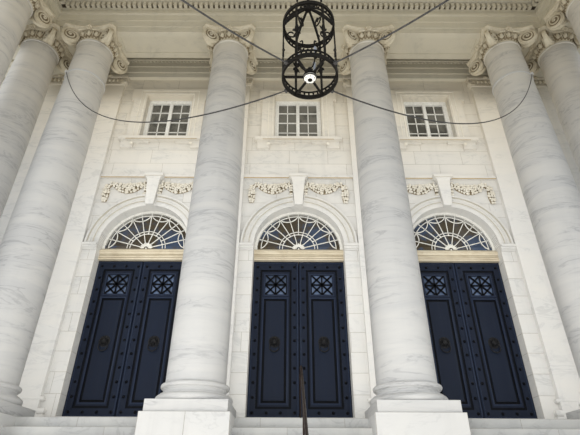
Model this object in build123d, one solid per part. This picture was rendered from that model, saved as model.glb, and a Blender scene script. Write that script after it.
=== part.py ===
from build123d import *
import os
from math import atan2, cos, degrees, radians, sin

# A stone office building entered through a deep columned carriage porch.
# The front faces -Y. Sizes are in millimetres, heights are above the ground.

# Plan
BAY = 3660.0
COUPLING = 1480.0
FLANK_SPAN = 4495.0
SIDE_MARGIN = 640.0
WALL = 900.0
INNER_ROW_OFFSET = 1240.0
OUTER_ROW_OFFSET = 10900.0

# Levels
PORCH_LEVEL = 2610.0
SILL_STEP = 165.0
LOWER_SILL_RISE = 900.0
DOOR_HEIGHT = 3435.0
TRANSOM_HEIGHT = 320.0
TRANSOM_DEPTH = 200.0
TRANSOM_STEPS = [(0.22, 50.0), (0.2, 66.0), (0.3, 90.0), (0.28, 130.0)]
ARCH_TO_BELT = 567.0
COLUMN_HEIGHT = 9400.0
FLOOR_THICKNESS = 260.0
CYMA_HEIGHT = 460.0
ROOF_THICKNESS = 180.0
PARAPET_HEIGHT = 900.0
PARAPET_THICKNESS = 300.0

# Columns
SHAFT_BOTTOM_DIAMETER = 1040.0
SHAFT_TOP_DIAMETER = 895.0
BASE_HEIGHT = 520.0
PLINTH_WIDTH = 1320.0
PLINTH_HEIGHT = 187.0
CAPITAL_HEIGHT = 340.0
ABACUS_WIDTH = 1230.0
ABACUS_HEIGHT = 78.0
VOLUTE_RADIUS = 172.0
VOLUTE_THICKNESS = 146.0
VOLUTE_RIM = 14.0
VOLUTE_SEAT = 10.0
VOLUTE_SHRINK = 0.79
VOLUTE_QUARTERS = 8
VOLUTE_BAND_SHARE = 0.16
VOLUTE_BAND_DEPTH = 12.0
VOLUTE_REACH_SHARE = 0.84
ABACUS_CLIP_SHARE = 0.11
ABACUS_DIP_SHARE = 0.12
ECHINUS_SWELL = 110.0
TORUS_LOW_SHARE = 0.39
FILLET_SHARE = 0.05
SCOTIA_SHARE = 0.2
TORUS_HIGH_SHARE = 0.26
PEDESTAL_WIDTH = 1420.0
NECK_BEAD = 26.0

# Entablature
BEAM_WIDTH = 853.0
CEILING_THICKNESS = 150.0
DENTIL_COURSE = 240.0
SOFFIT_MARGIN = 170.0
SOFFIT_PANEL_DEPTH = 30.0

# Stair
STEP_COUNT = 14
TREAD = 330.0

# Wall dressings
PODIUM_PROJECTION = 120.0
PODIUM_LEDGE = 200.0
PILASTER_WIDTH = 871.0
PILASTER_PROJECTION = 110.0
PILASTER_CAP_FLARE = 84.0
PILASTER_VOLUTE_RADIUS = 118.0
BELT_HEIGHT = 110.0
BELT_PROJECTION = 60.0

# Arched bays
IMPOST_WIDTH = 333.5
ARCHIVOLT_WIDTH = 312.0
ARCHIVOLT_PROJECTION = 75.0
ARCHIVOLT_STEPS = [(0.3, 0.4), (0.28, 0.6), (0.28, 0.78), (0.14, 1.0)]
IMPOST_HEIGHT = 150.0
IMPOST_STEPS = [(0.25, 40.0), (0.4, 70.0), (0.35, 100.0)]
KEYSTONE_TOP_WIDTH = 420.0
KEYSTONE_FOOT_WIDTH = 180.0
KEYSTONE_PROJECTION = 150.0
KEYSTONE_CAP = 90.0
KEYSTONE_LIP = 30.0

# Doors
DOOR_RECESS = 250.0
LEAF_THICKNESS = 90.0
JAMB_GAP = 6.0
MEETING_GAP = 14.0
SILL_GAP = 12.0
HEAD_GAP = 10.0
HEEL = 30.0
PIVOT_RADIUS = 18.0
PIVOT_LENGTH = 30.0
PIVOT_PLAY = 0.3
STILE_WIDTH = 160.0
BOTTOM_RAIL = 175.0
TOP_RAIL = 204.0
FRAME_GROOVE = 24.0
GROOVE_DEPTH = 30.0
INNER_FRAME_DEPTH = 12.0
PANEL_SIDE_MARGIN = 262.0
PANEL_LOW_MARGIN = 283.0
PANEL_HEIGHT = 2220.0
PANEL_DEPTH = 32.0
FIELD_MARGIN = 55.0
FIELD_DEPTH = 16.0
GRILLE_SIDE = 480.0
GRILLE_TOP_MARGIN = 333.0
GRILLE_DEPTH = 54.0
GRILLE_BAR = 26.0
KNOCKER_RISE = 1535.0
KNOCKER_RADIUS = 125.0
KNOCKER_RING_RADIUS = 100.0
KNOCKER_RING_BAR = 11.0
KNOCKER_DEPTH = 62.0

# Upper windows
WINDOW_WIDTH = 1300.0
WINDOW_HEIGHT_SHARE = 0.449
WINDOW_SILL_SHARE = 0.356
WINDOW_RECESS = 150.0
WINDOW_FRAME = 62.0
FRAME_DEPTH = 80.0
SASH_STILE = 46.0
SASH_SETBACK = 18.0
SURROUND_WIDTH = 360.0
SURROUND_HEAD = 252.0
SURROUND_EAR_WIDTH = 90.0
SURROUND_EAR_HEIGHT = 420.0
SURROUND_PROJECTION = 70.0
SILL_HEIGHT = 100.0
SILL_OVERHANG = 155.0
SILL_PROJECTION = 90.0
SILL_BED_HEIGHT = 70.0
SILL_BLOCK_WIDTH = 330.0
SILL_BLOCK_HEIGHT = 160.0
VENT_WIDTH = 720.0
GLASS_THICKNESS = 20.0

# Lantern
LANTERN_RADIUS = 308.0
LANTERN_RISE = 2810.0
LANTERN_CAGE_HEIGHT = 880.0
LANTERN_CROWN_HEIGHT = 330.0
LANTERN_HOOP = 50.0
LANTERN_BAR = 22.0
HOOP_LIP = 3.0
LANTERN_BAR_COUNT = 6
LANTERN_HUB_RADIUS = 72.0
LANTERN_CROWN_RADIUS = 40.0
LANTERN_ROD_RADIUS = 16.0
LANTERN_ROSE_RADIUS = 160.0
LANTERN_ROSE_HEIGHT = 60.0
CANDLE_RADIUS = 16.0
CANDLE_HEIGHT = 240.0
CANDLE_CIRCLE_SHARE = 0.55

# Lantern stays
STAY_RADIUS = 9.0
STAY_RISE = 7890.0
STAY_INNER_SAG = 1050.0
STAY_OUTER_SAG = 1950.0
STAY_BAND_HEIGHT = 36.0
STAY_BAND_THICKNESS = 18.0
STAY_LUG = 60.0
STAY_HOOK = 34.0

# Handrail
RAIL_HEIGHT = 850.0
RAIL_RADIUS = 22.0
RAIL_START = 0.47

# Fitting clearance between round faces
SEAT = 0.3

# Entablature courses: height, projection outside, projection inside
ARCHITRAVE_LAYERS = [(190.0, 0.0, 0.0), (215.0, 25.0, 25.0), (225.0, 50.0, 50.0), (70.0, 110.0, 110.0)]
FRIEZE_LAYERS = [(190.0, 0.0, 30.0), (DENTIL_COURSE, 0.0, 60.0), (110.0, 0.0, 200.0), (150.0, 0.0, 330.0)]
CORNICE_LAYERS = [(160.0, 110.0, 0.0), (90.0, 260.0, 0.0), (190.0, 700.0, 0.0)]
CYMA_PROJECTION = 880.0

# Values worked out from the sizes above
FLOOR_LEVEL = PORCH_LEVEL + SILL_STEP
LOWER_SILL = PORCH_LEVEL + LOWER_SILL_RISE
DOOR_HEAD = FLOOR_LEVEL + DOOR_HEIGHT
SPRING = DOOR_HEAD + TRANSOM_HEIGHT
ARCH_RADIUS = (BAY - PILASTER_WIDTH) / 2 - IMPOST_WIDTH
BELT_LEVEL = SPRING + ARCH_RADIUS + ARCHIVOLT_WIDTH + ARCH_TO_BELT
SOFFIT = PORCH_LEVEL + COLUMN_HEIGHT
WINDOW_SILL = BELT_LEVEL + WINDOW_SILL_SHARE * (SOFFIT - BELT_LEVEL)
WINDOW_HEAD = WINDOW_SILL + WINDOW_HEIGHT_SHARE * (SOFFIT - BELT_LEVEL)
FRIEZE_LEVEL = SOFFIT + sum(layer[0] for layer in ARCHITRAVE_LAYERS)
CEILING = FRIEZE_LEVEL + sum(layer[0] for layer in FRIEZE_LAYERS)
CYMA_LEVEL = CEILING + sum(layer[0] for layer in CORNICE_LAYERS)
CORNICE_TOP = CYMA_LEVEL + CYMA_HEIGHT
ROOF_TOP = CORNICE_TOP + ROOF_THICKNESS
LANTERN_BOTTOM = PORCH_LEVEL + LANTERN_RISE
LANTERN_TOP = LANTERN_BOTTOM + LANTERN_CAGE_HEIGHT
LANTERN_Y = -(INNER_ROW_OFFSET + OUTER_ROW_OFFSET) / 2
STAY_LEVEL = PORCH_LEVEL + STAY_RISE
RISER = PORCH_LEVEL / STEP_COUNT
SIDE_COLUMN = 1.5 * BAY + COUPLING
CORNER_PILASTER = SIDE_COLUMN + FLANK_SPAN
HALF_WIDTH = CORNER_PILASTER + PILASTER_WIDTH / 2
MAIN_DEPTH = 3 * BAY + 2 * SIDE_MARGIN
BASE_FLARE = (PLINTH_WIDTH - SHAFT_BOTTOM_DIAMETER) / 2
FLANK_BAY = (SIDE_COLUMN + CORNER_PILASTER) / 2
DOOR_BAYS = [-BAY, 0.0, BAY]
FRONT_BAYS = [-FLANK_BAY, *DOOR_BAYS, FLANK_BAY]
BACK_BAYS = [index * FLANK_BAY / 2 for index in range(-2, 3)]
SIDE_BAY_CENTRES = [MAIN_DEPTH / 2 + index * BAY for index in (-1, 0, 1)]
PORTICO_HALF = SIDE_COLUMN + BEAM_WIDTH / 2
PORTICO_FRONT = -(OUTER_ROW_OFFSET + BEAM_WIDTH / 2)
FRONT_EDGE = PORTICO_FRONT - CYMA_PROJECTION
BACK_EDGE = MAIN_DEPTH + PILASTER_PROJECTION + CYMA_PROJECTION
TO_ORIGIN = -(FRONT_EDGE + BACK_EDGE) / 2


def block(x_low, x_high, y_low, y_high, z_low, z_high):
    """A box between two corners."""
    size = (x_high - x_low, y_high - y_low, z_high - z_low)
    centre = ((x_low + x_high) / 2, (y_low + y_high) / 2, (z_low + z_high) / 2)
    return Pos(*centre) * Box(*size)


def outline(start, *moves):
    """A closed face: each move is a point for a line, or a middle and an end for an arc."""
    edges = Curve()
    here = start
    for move in moves:
        if isinstance(move[0], tuple):
            edges += ThreePointArc(here, move[0], move[1])
            here = move[1]
        else:
            edges += Line(here, move)
            here = move
    if here != start:
        edges += Line(here, start)
    return make_face(edges)


def turned(start, *moves):
    """A solid of revolution about Z from a profile of radius and height."""
    return revolve(Plane.XZ * outline(start, *moves), Axis.Z)


def tube(points, radius, bend):
    """A round bar along straight runs joined by arcs."""
    path = FilletPolyline(*points, radius=bend) if len(points) > 2 else Line(*points)
    section = Plane(path @ 0, z_dir=path % 0) * Circle(radius)
    return sweep(section, path=path)


def on_walls(door_bay, window_bay):
    """Copies pieces, drawn for a bay centred at X = 0 on the front wall, to every bay of the walls."""
    placed = [Pos(x, 0, 0) * (door_bay if x in DOOR_BAYS else window_bay) for x in FRONT_BAYS]
    placed += [Pos(x, MAIN_DEPTH, 0) * Rot(0, 0, 180) * window_bay for x in BACK_BAYS]
    for y in SIDE_BAY_CENTRES:
        for side in (-1, 1):
            placed.append(Pos(side * HALF_WIDTH, y, 0) * Rot(0, 0, 90 * side) * window_bay)
    return placed


# Walls


def arch_hole(low):
    """The void of an arched bay, from its sill to the crown."""
    straight = block(-ARCH_RADIUS, ARCH_RADIUS, -1, WALL + 1, low, SPRING)
    head = Pos(0, WALL / 2, SPRING) * Rot(90, 0, 0) * Cylinder(ARCH_RADIUS, WALL + 2)
    return straight + head


def window_hole():
    """The void of an upper window."""
    return block(-WINDOW_WIDTH / 2, WINDOW_WIDTH / 2, -1, WALL + 1, WINDOW_SILL, WINDOW_HEAD)


def front_wall():
    """The front wall in its three bands: piers beside the doors, arches, upper windows."""
    bands = {
        "front_piers": (PORCH_LEVEL, SPRING),
        "front_arch_wall": (SPRING, BELT_LEVEL),
        "front_upper_wall": (BELT_LEVEL, SOFFIT),
    }
    walls = {}
    for name, (low, high) in bands.items():
        band = block(-HALF_WIDTH, HALF_WIDTH, 0, WALL, low, high)
        for x in FRONT_BAYS:
            foot = PORCH_LEVEL - 1 if x in DOOR_BAYS else LOWER_SILL
            band -= Pos(x, 0, 0) * arch_hole(foot)
            band -= Pos(x, 0, 0) * window_hole()
        walls[name] = band
    return walls


def side_wall(side):
    """A side wall between the front and back walls; side is -1 or 1."""
    outer = side * HALF_WIDTH
    inner = side * (HALF_WIDTH - WALL)
    wall = block(min(outer, inner), max(outer, inner), WALL, MAIN_DEPTH - WALL, PORCH_LEVEL, SOFFIT)
    for y in SIDE_BAY_CENTRES:
        place = Pos(outer, y, 0) * Rot(0, 0, 90 * side)
        wall -= place * arch_hole(LOWER_SILL)
        wall -= place * window_hole()
    return wall


def back_wall():
    """The back wall, with the same two rows of windows."""
    wall = block(-HALF_WIDTH, HALF_WIDTH, MAIN_DEPTH - WALL, MAIN_DEPTH, PORCH_LEVEL, SOFFIT)
    for x in BACK_BAYS:
        place = Pos(x, MAIN_DEPTH, 0) * Rot(0, 0, 180)
        wall -= place * arch_hole(LOWER_SILL)
        wall -= place * window_hole()
    return wall


def podium_walls():
    """The base course under the walls, with an inner ledge for the ground floor."""
    out = HALF_WIDTH + PODIUM_PROJECTION
    ring = block(-out, out, -PODIUM_PROJECTION, MAIN_DEPTH + PODIUM_PROJECTION, 0, PORCH_LEVEL)
    inner = HALF_WIDTH - WALL - PODIUM_LEDGE
    inset = WALL + PODIUM_LEDGE
    return ring - block(-inner, inner, inset, MAIN_DEPTH - inset, -1, PORCH_LEVEL + 1)


def floor_slab(low, high):
    """A slab that fits between the four walls."""
    inner = HALF_WIDTH - WALL
    return block(-inner, inner, WALL, MAIN_DEPTH - WALL, low, high)


def belt_course():
    """The string course around the walls, stopped against the pilasters."""
    out = HALF_WIDTH + BELT_PROJECTION
    low, high = BELT_LEVEL - BELT_HEIGHT / 2, BELT_LEVEL + BELT_HEIGHT / 2
    ring = block(-out, out, -BELT_PROJECTION, MAIN_DEPTH + BELT_PROJECTION, low, high)
    ring -= block(-HALF_WIDTH, HALF_WIDTH, 0, MAIN_DEPTH, low - 1, high + 1)
    return ring


def roll(half, reach, low, high):
    """A half-round moulding across the front and round the two ends of a pilaster."""
    radius = (high - low) / 2
    middle = low + radius
    right = ((half, middle), (half - radius, high))
    left = ((-half, middle), (radius - half, low))
    across = outline((radius - half, low), (half - radius, low), right, (radius - half, high), left)
    front = ((-reach, middle), (radius - reach, high))
    along = outline((0, low), (radius - reach, low), front, (0, high))
    return extrude(Plane.XZ * across, reach) & extrude(Plane.YZ * along, half, both=True)


def pilaster():
    """A flat pilaster centred at X = 0 on the front wall, with its base and capital."""
    half = PILASTER_WIDTH / 2
    top = SOFFIT - CAPITAL_HEIGHT
    foot = PORCH_LEVEL + PLINTH_HEIGHT
    tall = BASE_HEIGHT - PLINTH_HEIGHT
    reach = PODIUM_PROJECTION
    body = block(-half, half, -PILASTER_PROJECTION, 0, PORCH_LEVEL, SOFFIT)
    body += block(-half - BASE_FLARE, half + BASE_FLARE, -reach, 0, PORCH_LEVEL, foot)
    body += roll(half + BASE_FLARE - 2, reach - 2, foot, foot + TORUS_LOW_SHARE * tall)
    head = PORCH_LEVEL + BASE_HEIGHT
    body += roll(half + BASE_FLARE / 2, reach - 4, head - TORUS_HIGH_SHARE * tall, head)
    body += roll(half + NECK_BEAD, PILASTER_PROJECTION + NECK_BEAD, top, top + 2 * NECK_BEAD)
    flare = PILASTER_CAP_FLARE
    body += block(-half - flare, half + flare, -PILASTER_PROJECTION - flare, 0, SOFFIT - ABACUS_HEIGHT, SOFFIT)
    for side in (-1, 1):
        depth = PILASTER_PROJECTION + flare / 2
        scroll = Rot(90, 0, 0) * Cylinder(PILASTER_VOLUTE_RADIUS, depth)
        level = SOFFIT - ABACUS_HEIGHT - PILASTER_VOLUTE_RADIUS + VOLUTE_SEAT
        body += Pos(side * (half - flare / 2), -depth / 2, level) * scroll
    return body


def pilasters():
    """All pilasters, wall by wall."""
    places = [0.5 * BAY, 1.5 * BAY, SIDE_COLUMN, CORNER_PILASTER]
    front = [Pos(side * x, 0, 0) * pilaster() for x in places for side in (-1, 1)]
    back_places = [side * x for x in (0.75 * FLANK_BAY, 0.25 * FLANK_BAY, CORNER_PILASTER) for side in (-1, 1)]
    back = [Pos(x, MAIN_DEPTH, 0) * Rot(0, 0, 180) * pilaster() for x in back_places]
    edge = PILASTER_WIDTH / 2 + BASE_FLARE
    steps = [edge, (MAIN_DEPTH - BAY) / 2, (MAIN_DEPTH + BAY) / 2, MAIN_DEPTH - edge]
    sides = []
    for side in (-1, 1):
        sides += [Pos(side * HALF_WIDTH, y, 0) * Rot(0, 0, 90 * side) * pilaster() for y in steps]
    return {"front_pilasters": front, "side_pilasters": sides, "back_pilasters": back}


# Bay dressings


def keystone():
    """A tapered keystone from the arch crown up to the belt course."""
    foot, top = SPRING + ARCH_RADIUS - 15, BELT_LEVEL - BELT_HEIGHT / 2
    half_foot, half_top = KEYSTONE_FOOT_WIDTH / 2, KEYSTONE_TOP_WIDTH / 2
    shoulder = top - KEYSTONE_CAP
    face = Plane.XZ * outline((-half_foot, foot), (half_foot, foot), (half_top, shoulder), (-half_top, shoulder))
    body = extrude(face, KEYSTONE_PROJECTION)
    lip = half_top + KEYSTONE_LIP
    return body + block(-lip, lip, -KEYSTONE_PROJECTION - KEYSTONE_LIP, 0, shoulder, top)


def archivolt():
    """Stepped archivolt on moulded imposts, cut out for the keystone."""
    ring = stepped_arch()
    level = SPRING - IMPOST_HEIGHT
    for side in (-1, 1):
        low, high = sorted((side * ARCH_RADIUS, side * (ARCH_RADIUS + IMPOST_WIDTH)))
        for share, reach in IMPOST_STEPS:
            ring += block(low, high, -reach, 0, level, level + share * IMPOST_HEIGHT)
            level += share * IMPOST_HEIGHT
        level = SPRING - IMPOST_HEIGHT
    return ring - keystone()


def stepped_arch():
    """The half rings of the archivolt, each further out than the one inside it."""
    parts = None
    inner = ARCH_RADIUS
    for width, reach in ARCHIVOLT_STEPS:
        outer = inner + ARCHIVOLT_WIDTH * width
        face = outline((inner, 0), (outer, 0), ((0, outer), (-outer, 0)), (-inner, 0), ((0, inner), (inner, 0)))
        ring = Pos(0, 0, SPRING) * extrude(Plane.XZ * face, ARCHIVOLT_PROJECTION * reach)
        parts = ring if parts is None else parts + ring
        inner = outer
    return parts


def window_surround():
    """An eared stone surround with its sill, a slot under the sill and end blocks."""
    half = WINDOW_WIDTH / 2
    top = WINDOW_HEAD + SURROUND_HEAD
    reach = SURROUND_PROJECTION
    outer = half + SURROUND_WIDTH
    ear = outer + SURROUND_EAR_WIDTH
    body = block(-outer, outer, -reach, 0, WINDOW_SILL, top)
    body += block(-ear, ear, -reach, 0, top - SURROUND_EAR_HEIGHT, top)
    body -= block(-half, half, -reach - 1, 1, WINDOW_SILL - 1, WINDOW_HEAD)
    sill, bed = WINDOW_SILL - SILL_HEIGHT, WINDOW_SILL - SILL_HEIGHT - SILL_BED_HEIGHT
    wide = outer + SILL_OVERHANG
    body += block(-wide, wide, -reach - SILL_PROJECTION, 0, sill, WINDOW_SILL)
    body += block(-ear, ear, -reach, 0, bed, sill)
    body -= block(-VENT_WIDTH / 2, VENT_WIDTH / 2, -reach - 1, 1, bed - 1, sill)
    for side in (-1, 1):
        low, high = sorted((side * ear, side * (ear - SILL_BLOCK_WIDTH)))
        body += block(low, high, -reach, 0, bed - SILL_BLOCK_HEIGHT, bed)
    return body


def window_frame():
    """The wooden frame of an upper window with its pair of casement sashes."""
    half = WINDOW_WIDTH / 2
    near, far = WINDOW_RECESS, WINDOW_RECESS + FRAME_DEPTH
    body = block(-half, half, near, far, WINDOW_SILL, WINDOW_HEAD)
    side = half - WINDOW_FRAME
    low, high = WINDOW_SILL + WINDOW_FRAME, WINDOW_HEAD - WINDOW_FRAME
    body -= block(-side, side, near - 1, near + SASH_SETBACK, low, high)
    for way in (-1, 1):
        left, right = sorted((way * SASH_STILE, way * (side - SASH_STILE)))
        body -= block(left, right, near, far + 1, low + SASH_STILE, high - SASH_STILE)
    return body


def window_glass():
    """The glass behind an upper window frame."""
    half = WINDOW_WIDTH / 2
    near = WINDOW_RECESS + FRAME_DEPTH
    return block(-half, half, near, near + GLASS_THICKNESS, WINDOW_SILL, WINDOW_HEAD)


def arched_frame(low):
    """The frame of an arched window or, from the transom up, of a fanlight."""
    outer = ARCH_RADIUS - SEAT
    inner = outer - WINDOW_FRAME
    face = arch_face(outer, low) - arch_face(inner, low + WINDOW_FRAME)
    return Pos(0, DOOR_RECESS + FRAME_DEPTH, 0) * extrude(Plane.XZ * face, FRAME_DEPTH)


def arch_face(radius, low):
    """A flat arched outline about the springing line."""
    moves = [((0, SPRING + radius), (-radius, SPRING))]
    if low < SPRING:
        moves.append((-radius, low))
        return outline((radius, low), (radius, SPRING), *moves)
    return outline((radius, low), *[((0, SPRING + radius), (-radius, low))])


def arched_glass(low):
    """The glass behind an arched frame."""
    far = DOOR_RECESS + FRAME_DEPTH + GLASS_THICKNESS
    return Pos(0, far, 0) * extrude(Plane.XZ * arch_face(ARCH_RADIUS - SEAT, low), GLASS_THICKNESS)


def transom():
    """The moulded stone transom between a doorway's jambs."""
    half = ARCH_RADIUS
    level = DOOR_HEAD
    body = block(-half, half, DOOR_RECESS, DOOR_RECESS + TRANSOM_DEPTH, DOOR_HEAD, SPRING)
    for share, reach in TRANSOM_STEPS:
        body += block(-half, half, DOOR_RECESS - reach, DOOR_RECESS, level, level + share * TRANSOM_HEIGHT)
        level += share * TRANSOM_HEIGHT
    for side in (-1, 1):
        body -= pivot_socket(side, DOOR_HEAD, 1)
    return body


def door_sill():
    """The stone sill of a doorway, with the two pivot sockets."""
    body = block(-ARCH_RADIUS, ARCH_RADIUS, 0, WALL, PORCH_LEVEL, FLOOR_LEVEL)
    for side in (-1, 1):
        body -= pivot_socket(side, FLOOR_LEVEL, -1)
    return body


# Doors


def pivot_x(side):
    """Where a leaf turns, from the middle of its doorway."""
    return side * (ARCH_RADIUS - JAMB_GAP - HEEL)


def pivot_y():
    """The pivot's depth behind the wall face."""
    return DOOR_RECESS + LEAF_THICKNESS - HEEL


def pivot_socket(side, level, way):
    """The void for a pivot pin, going up or down from a level."""
    depth = PIVOT_LENGTH - (HEAD_GAP if way > 0 else SILL_GAP) + 2
    middle = level + way * depth / 2
    return Pos(pivot_x(side), pivot_y(), middle) * Cylinder(PIVOT_RADIUS + PIVOT_PLAY, depth)


def leaf(side):
    """One door leaf, closed, drawn for a doorway centred at X = 0."""
    outer = side * (ARCH_RADIUS - JAMB_GAP)
    inner = side * MEETING_GAP / 2
    left, right = sorted((outer, inner))
    low, high = FLOOR_LEVEL + SILL_GAP, DOOR_HEAD - HEAD_GAP
    near, far = DOOR_RECESS, DOOR_RECESS + LEAF_THICKNESS
    body = block(left, right, near, far, low, high)
    heel = block(*sorted((outer, outer - side * HEEL)), far - HEEL, far, low, high)
    heel -= Pos(pivot_x(side), pivot_y(), (low + high) / 2) * Cylinder(HEEL, high - low)
    body -= heel
    frame_left, frame_right = left + STILE_WIDTH, right - STILE_WIDTH
    frame_low, frame_high = low + BOTTOM_RAIL, high - TOP_RAIL
    body -= block(frame_left, frame_right, near - 1, near + GROOVE_DEPTH, frame_low, frame_high)
    body += block(
        frame_left + FRAME_GROOVE, frame_right - FRAME_GROOVE, near + INNER_FRAME_DEPTH, near + GROOVE_DEPTH,
        frame_low + FRAME_GROOVE, frame_high - FRAME_GROOVE,
    )
    panel_left, panel_right = left + PANEL_SIDE_MARGIN, right - PANEL_SIDE_MARGIN
    foot = low + PANEL_LOW_MARGIN
    head = foot + PANEL_HEIGHT
    body -= block(panel_left, panel_right, near, near + PANEL_DEPTH, foot, head)
    body += block(
        panel_left + FIELD_MARGIN, panel_right - FIELD_MARGIN, near + FIELD_DEPTH, near + PANEL_DEPTH,
        foot + FIELD_MARGIN, head - FIELD_MARGIN,
    )
    middle = (left + right) / 2
    body -= Pos(middle, near + GRILLE_DEPTH / 2, grille_level()) * Box(GRILLE_SIDE, GRILLE_DEPTH, GRILLE_SIDE)
    body += Pos(middle, near + INNER_FRAME_DEPTH + GRILLE_BAR / 2, grille_level()) * grille()
    pin = Cylinder(PIVOT_RADIUS, PIVOT_LENGTH + HEEL)
    body += Pos(pivot_x(side), pivot_y(), low + (HEEL - PIVOT_LENGTH) / 2) * pin
    body += Pos(pivot_x(side), pivot_y(), high - (HEEL - PIVOT_LENGTH) / 2) * pin
    return body


def grille_level():
    """The height of the middle of a leaf's pierced square."""
    return DOOR_HEAD - HEAD_GAP - GRILLE_TOP_MARGIN - GRILLE_SIDE / 2


def grille():
    """The bars of the pierced square: four small squares, each with a diagonal cross."""
    half = GRILLE_SIDE / 2
    bars = Box(GRILLE_BAR, GRILLE_BAR, GRILLE_SIDE) + Box(GRILLE_SIDE, GRILLE_BAR, GRILLE_BAR)
    for across in (-1, 1):
        for up in (-1, 1):
            for tilt in (45, 135):
                cross = Rot(0, tilt, 0) * Box(GRILLE_BAR, GRILLE_BAR, half * 2**0.5)
                bars += Pos(across * half / 2, 0, up * half / 2) * cross
    return bars & Box(GRILLE_SIDE, GRILLE_BAR, GRILLE_SIDE)


def knocker(side):
    """A round boss with a hanging ring, seated on the raised field of the panel."""
    middle = side * (ARCH_RADIUS - JAMB_GAP + MEETING_GAP / 2) / 2
    radius, deep = KNOCKER_RADIUS, KNOCKER_DEPTH
    boss = turned(
        (0, 0),
        (radius, 0),
        (radius, 0.2 * deep),
        (0.9 * radius, 0.34 * deep),
        (0.74 * radius, 0.3 * deep),
        ((0.5 * radius, 0.8 * deep), (0, deep)),
    )
    ring = Pos(0, -0.85 * KNOCKER_RADIUS, 0.72 * deep) * Torus(KNOCKER_RING_RADIUS, KNOCKER_RING_BAR)
    upright = Pos(middle, DOOR_RECESS + FIELD_DEPTH, FLOOR_LEVEL + KNOCKER_RISE) * Rot(90, 0, 0)
    return upright * (boss + ring)


# Porch


def row_columns(row, inward):
    """The column places of one row; inward points to where its coupled side columns stand."""
    places = [(x, row) for x in (-SIDE_COLUMN, -1.5 * BAY, -0.5 * BAY, 0.5 * BAY, 1.5 * BAY, SIDE_COLUMN)]
    places += [(side * SIDE_COLUMN, row + inward * COUPLING) for side in (-1, 1)]
    return places


COLUMN_PLACES = row_columns(-INNER_ROW_OFFSET, -1) + row_columns(-OUTER_ROW_OFFSET, 1)


def pedestals():
    """Square pedestals under single columns and L-shaped ones under the corner groups."""
    half = PEDESTAL_WIDTH / 2
    made = []
    for row, inward in ((-INNER_ROW_OFFSET, -1), (-OUTER_ROW_OFFSET, 1)):
        for side in (-1, 1):
            middle = side * 0.5 * BAY
            made.append(block(middle - half, middle + half, row - half, row + half, 0, PORCH_LEVEL))
            left, right = sorted((side * 1.5 * BAY - side * half, side * SIDE_COLUMN + side * half))
            group = block(left, right, row - half, row + half, 0, PORCH_LEVEL)
            near, far = sorted((row - inward * half, row + inward * (COUPLING + half)))
            post = side * SIDE_COLUMN
            group += block(post - half, post + half, near, far, 0, PORCH_LEVEL)
            made.append(group)
    return made


def landing():
    """The porch floor in front of the doors, built round the pedestals."""
    half = SIDE_COLUMN + PEDESTAL_WIDTH / 2
    mass = block(-half, half, -INNER_ROW_OFFSET, -PODIUM_PROJECTION, 0, PORCH_LEVEL)
    for pedestal in pedestals():
        mass -= pedestal
    return mass


def stair():
    """The flight from the landing to the ground, round the fronts of the pedestals."""
    half = 1.5 * BAY - PEDESTAL_WIDTH / 2
    points = [(-INNER_ROW_OFFSET, 0)]
    for index in range(1, STEP_COUNT):
        level = PORCH_LEVEL - index * RISER
        points.append((-INNER_ROW_OFFSET - (index - 1) * TREAD, level))
        points.append((-INNER_ROW_OFFSET - index * TREAD, level))
    points.append((-INNER_ROW_OFFSET - (STEP_COUNT - 1) * TREAD, 0))
    flight = extrude(Plane.YZ * make_face(Polyline(*points, close=True)), half, both=True)
    for pedestal in pedestals():
        flight -= pedestal
    return flight


def column_base():
    """Square plinth, two tori and the hollow between them."""
    low = PLINTH_HEIGHT
    tall = BASE_HEIGHT - PLINTH_HEIGHT
    torus_low, torus_high = TORUS_LOW_SHARE * tall, TORUS_HIGH_SHARE * tall
    fillet, scotia = FILLET_SHARE * tall, SCOTIA_SHARE * tall
    big = PLINTH_WIDTH / 2 - 4
    shaft = SHAFT_BOTTOM_DIAMETER / 2
    small = shaft + 0.5 * (big - shaft)
    z1 = low + torus_low
    z2 = z1 + fillet
    z3 = z2 + scotia
    z4 = z3 + fillet
    z5 = z4 + torus_high
    r1 = big - torus_low / 2
    r3 = small - torus_high / 2
    body = turned(
        (0, low),
        (r1, low),
        ((big, low + torus_low / 2), (r1, z1)),
        (r1, z2),
        ((r3 - 0.3 * scotia, (z2 + z3) / 2), (r3, z3)),
        (r3, z4),
        ((small, z4 + torus_high / 2), (r3, z5)),
        (shaft + 12, z5),
        (shaft + 12, BASE_HEIGHT),
        (0, BASE_HEIGHT),
    )
    return body + block(-PLINTH_WIDTH / 2, PLINTH_WIDTH / 2, -PLINTH_WIDTH / 2, PLINTH_WIDTH / 2, 0, low)


def column_shaft():
    """A smooth shaft, straight for a third and then drawn in, with its neck bead."""
    bottom, top = SHAFT_BOTTOM_DIAMETER / 2, SHAFT_TOP_DIAMETER / 2
    low, high = BASE_HEIGHT, COLUMN_HEIGHT - CAPITAL_HEIGHT
    straight = low + (high - low) / 3
    middle = (straight + high) / 2
    swell = bottom - 0.28 * (bottom - top)
    bead = NECK_BEAD
    neck = high - 2 * bead
    neck_radius = top + 0.5 * (bottom - top) * 2 * bead / (high - straight)
    return turned(
        (0, low),
        (bottom, low),
        (bottom, straight),
        ((swell, middle), (neck_radius, neck)),
        ((top + bead, neck + bead), (top, high)),
        (0, high),
    )


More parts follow.
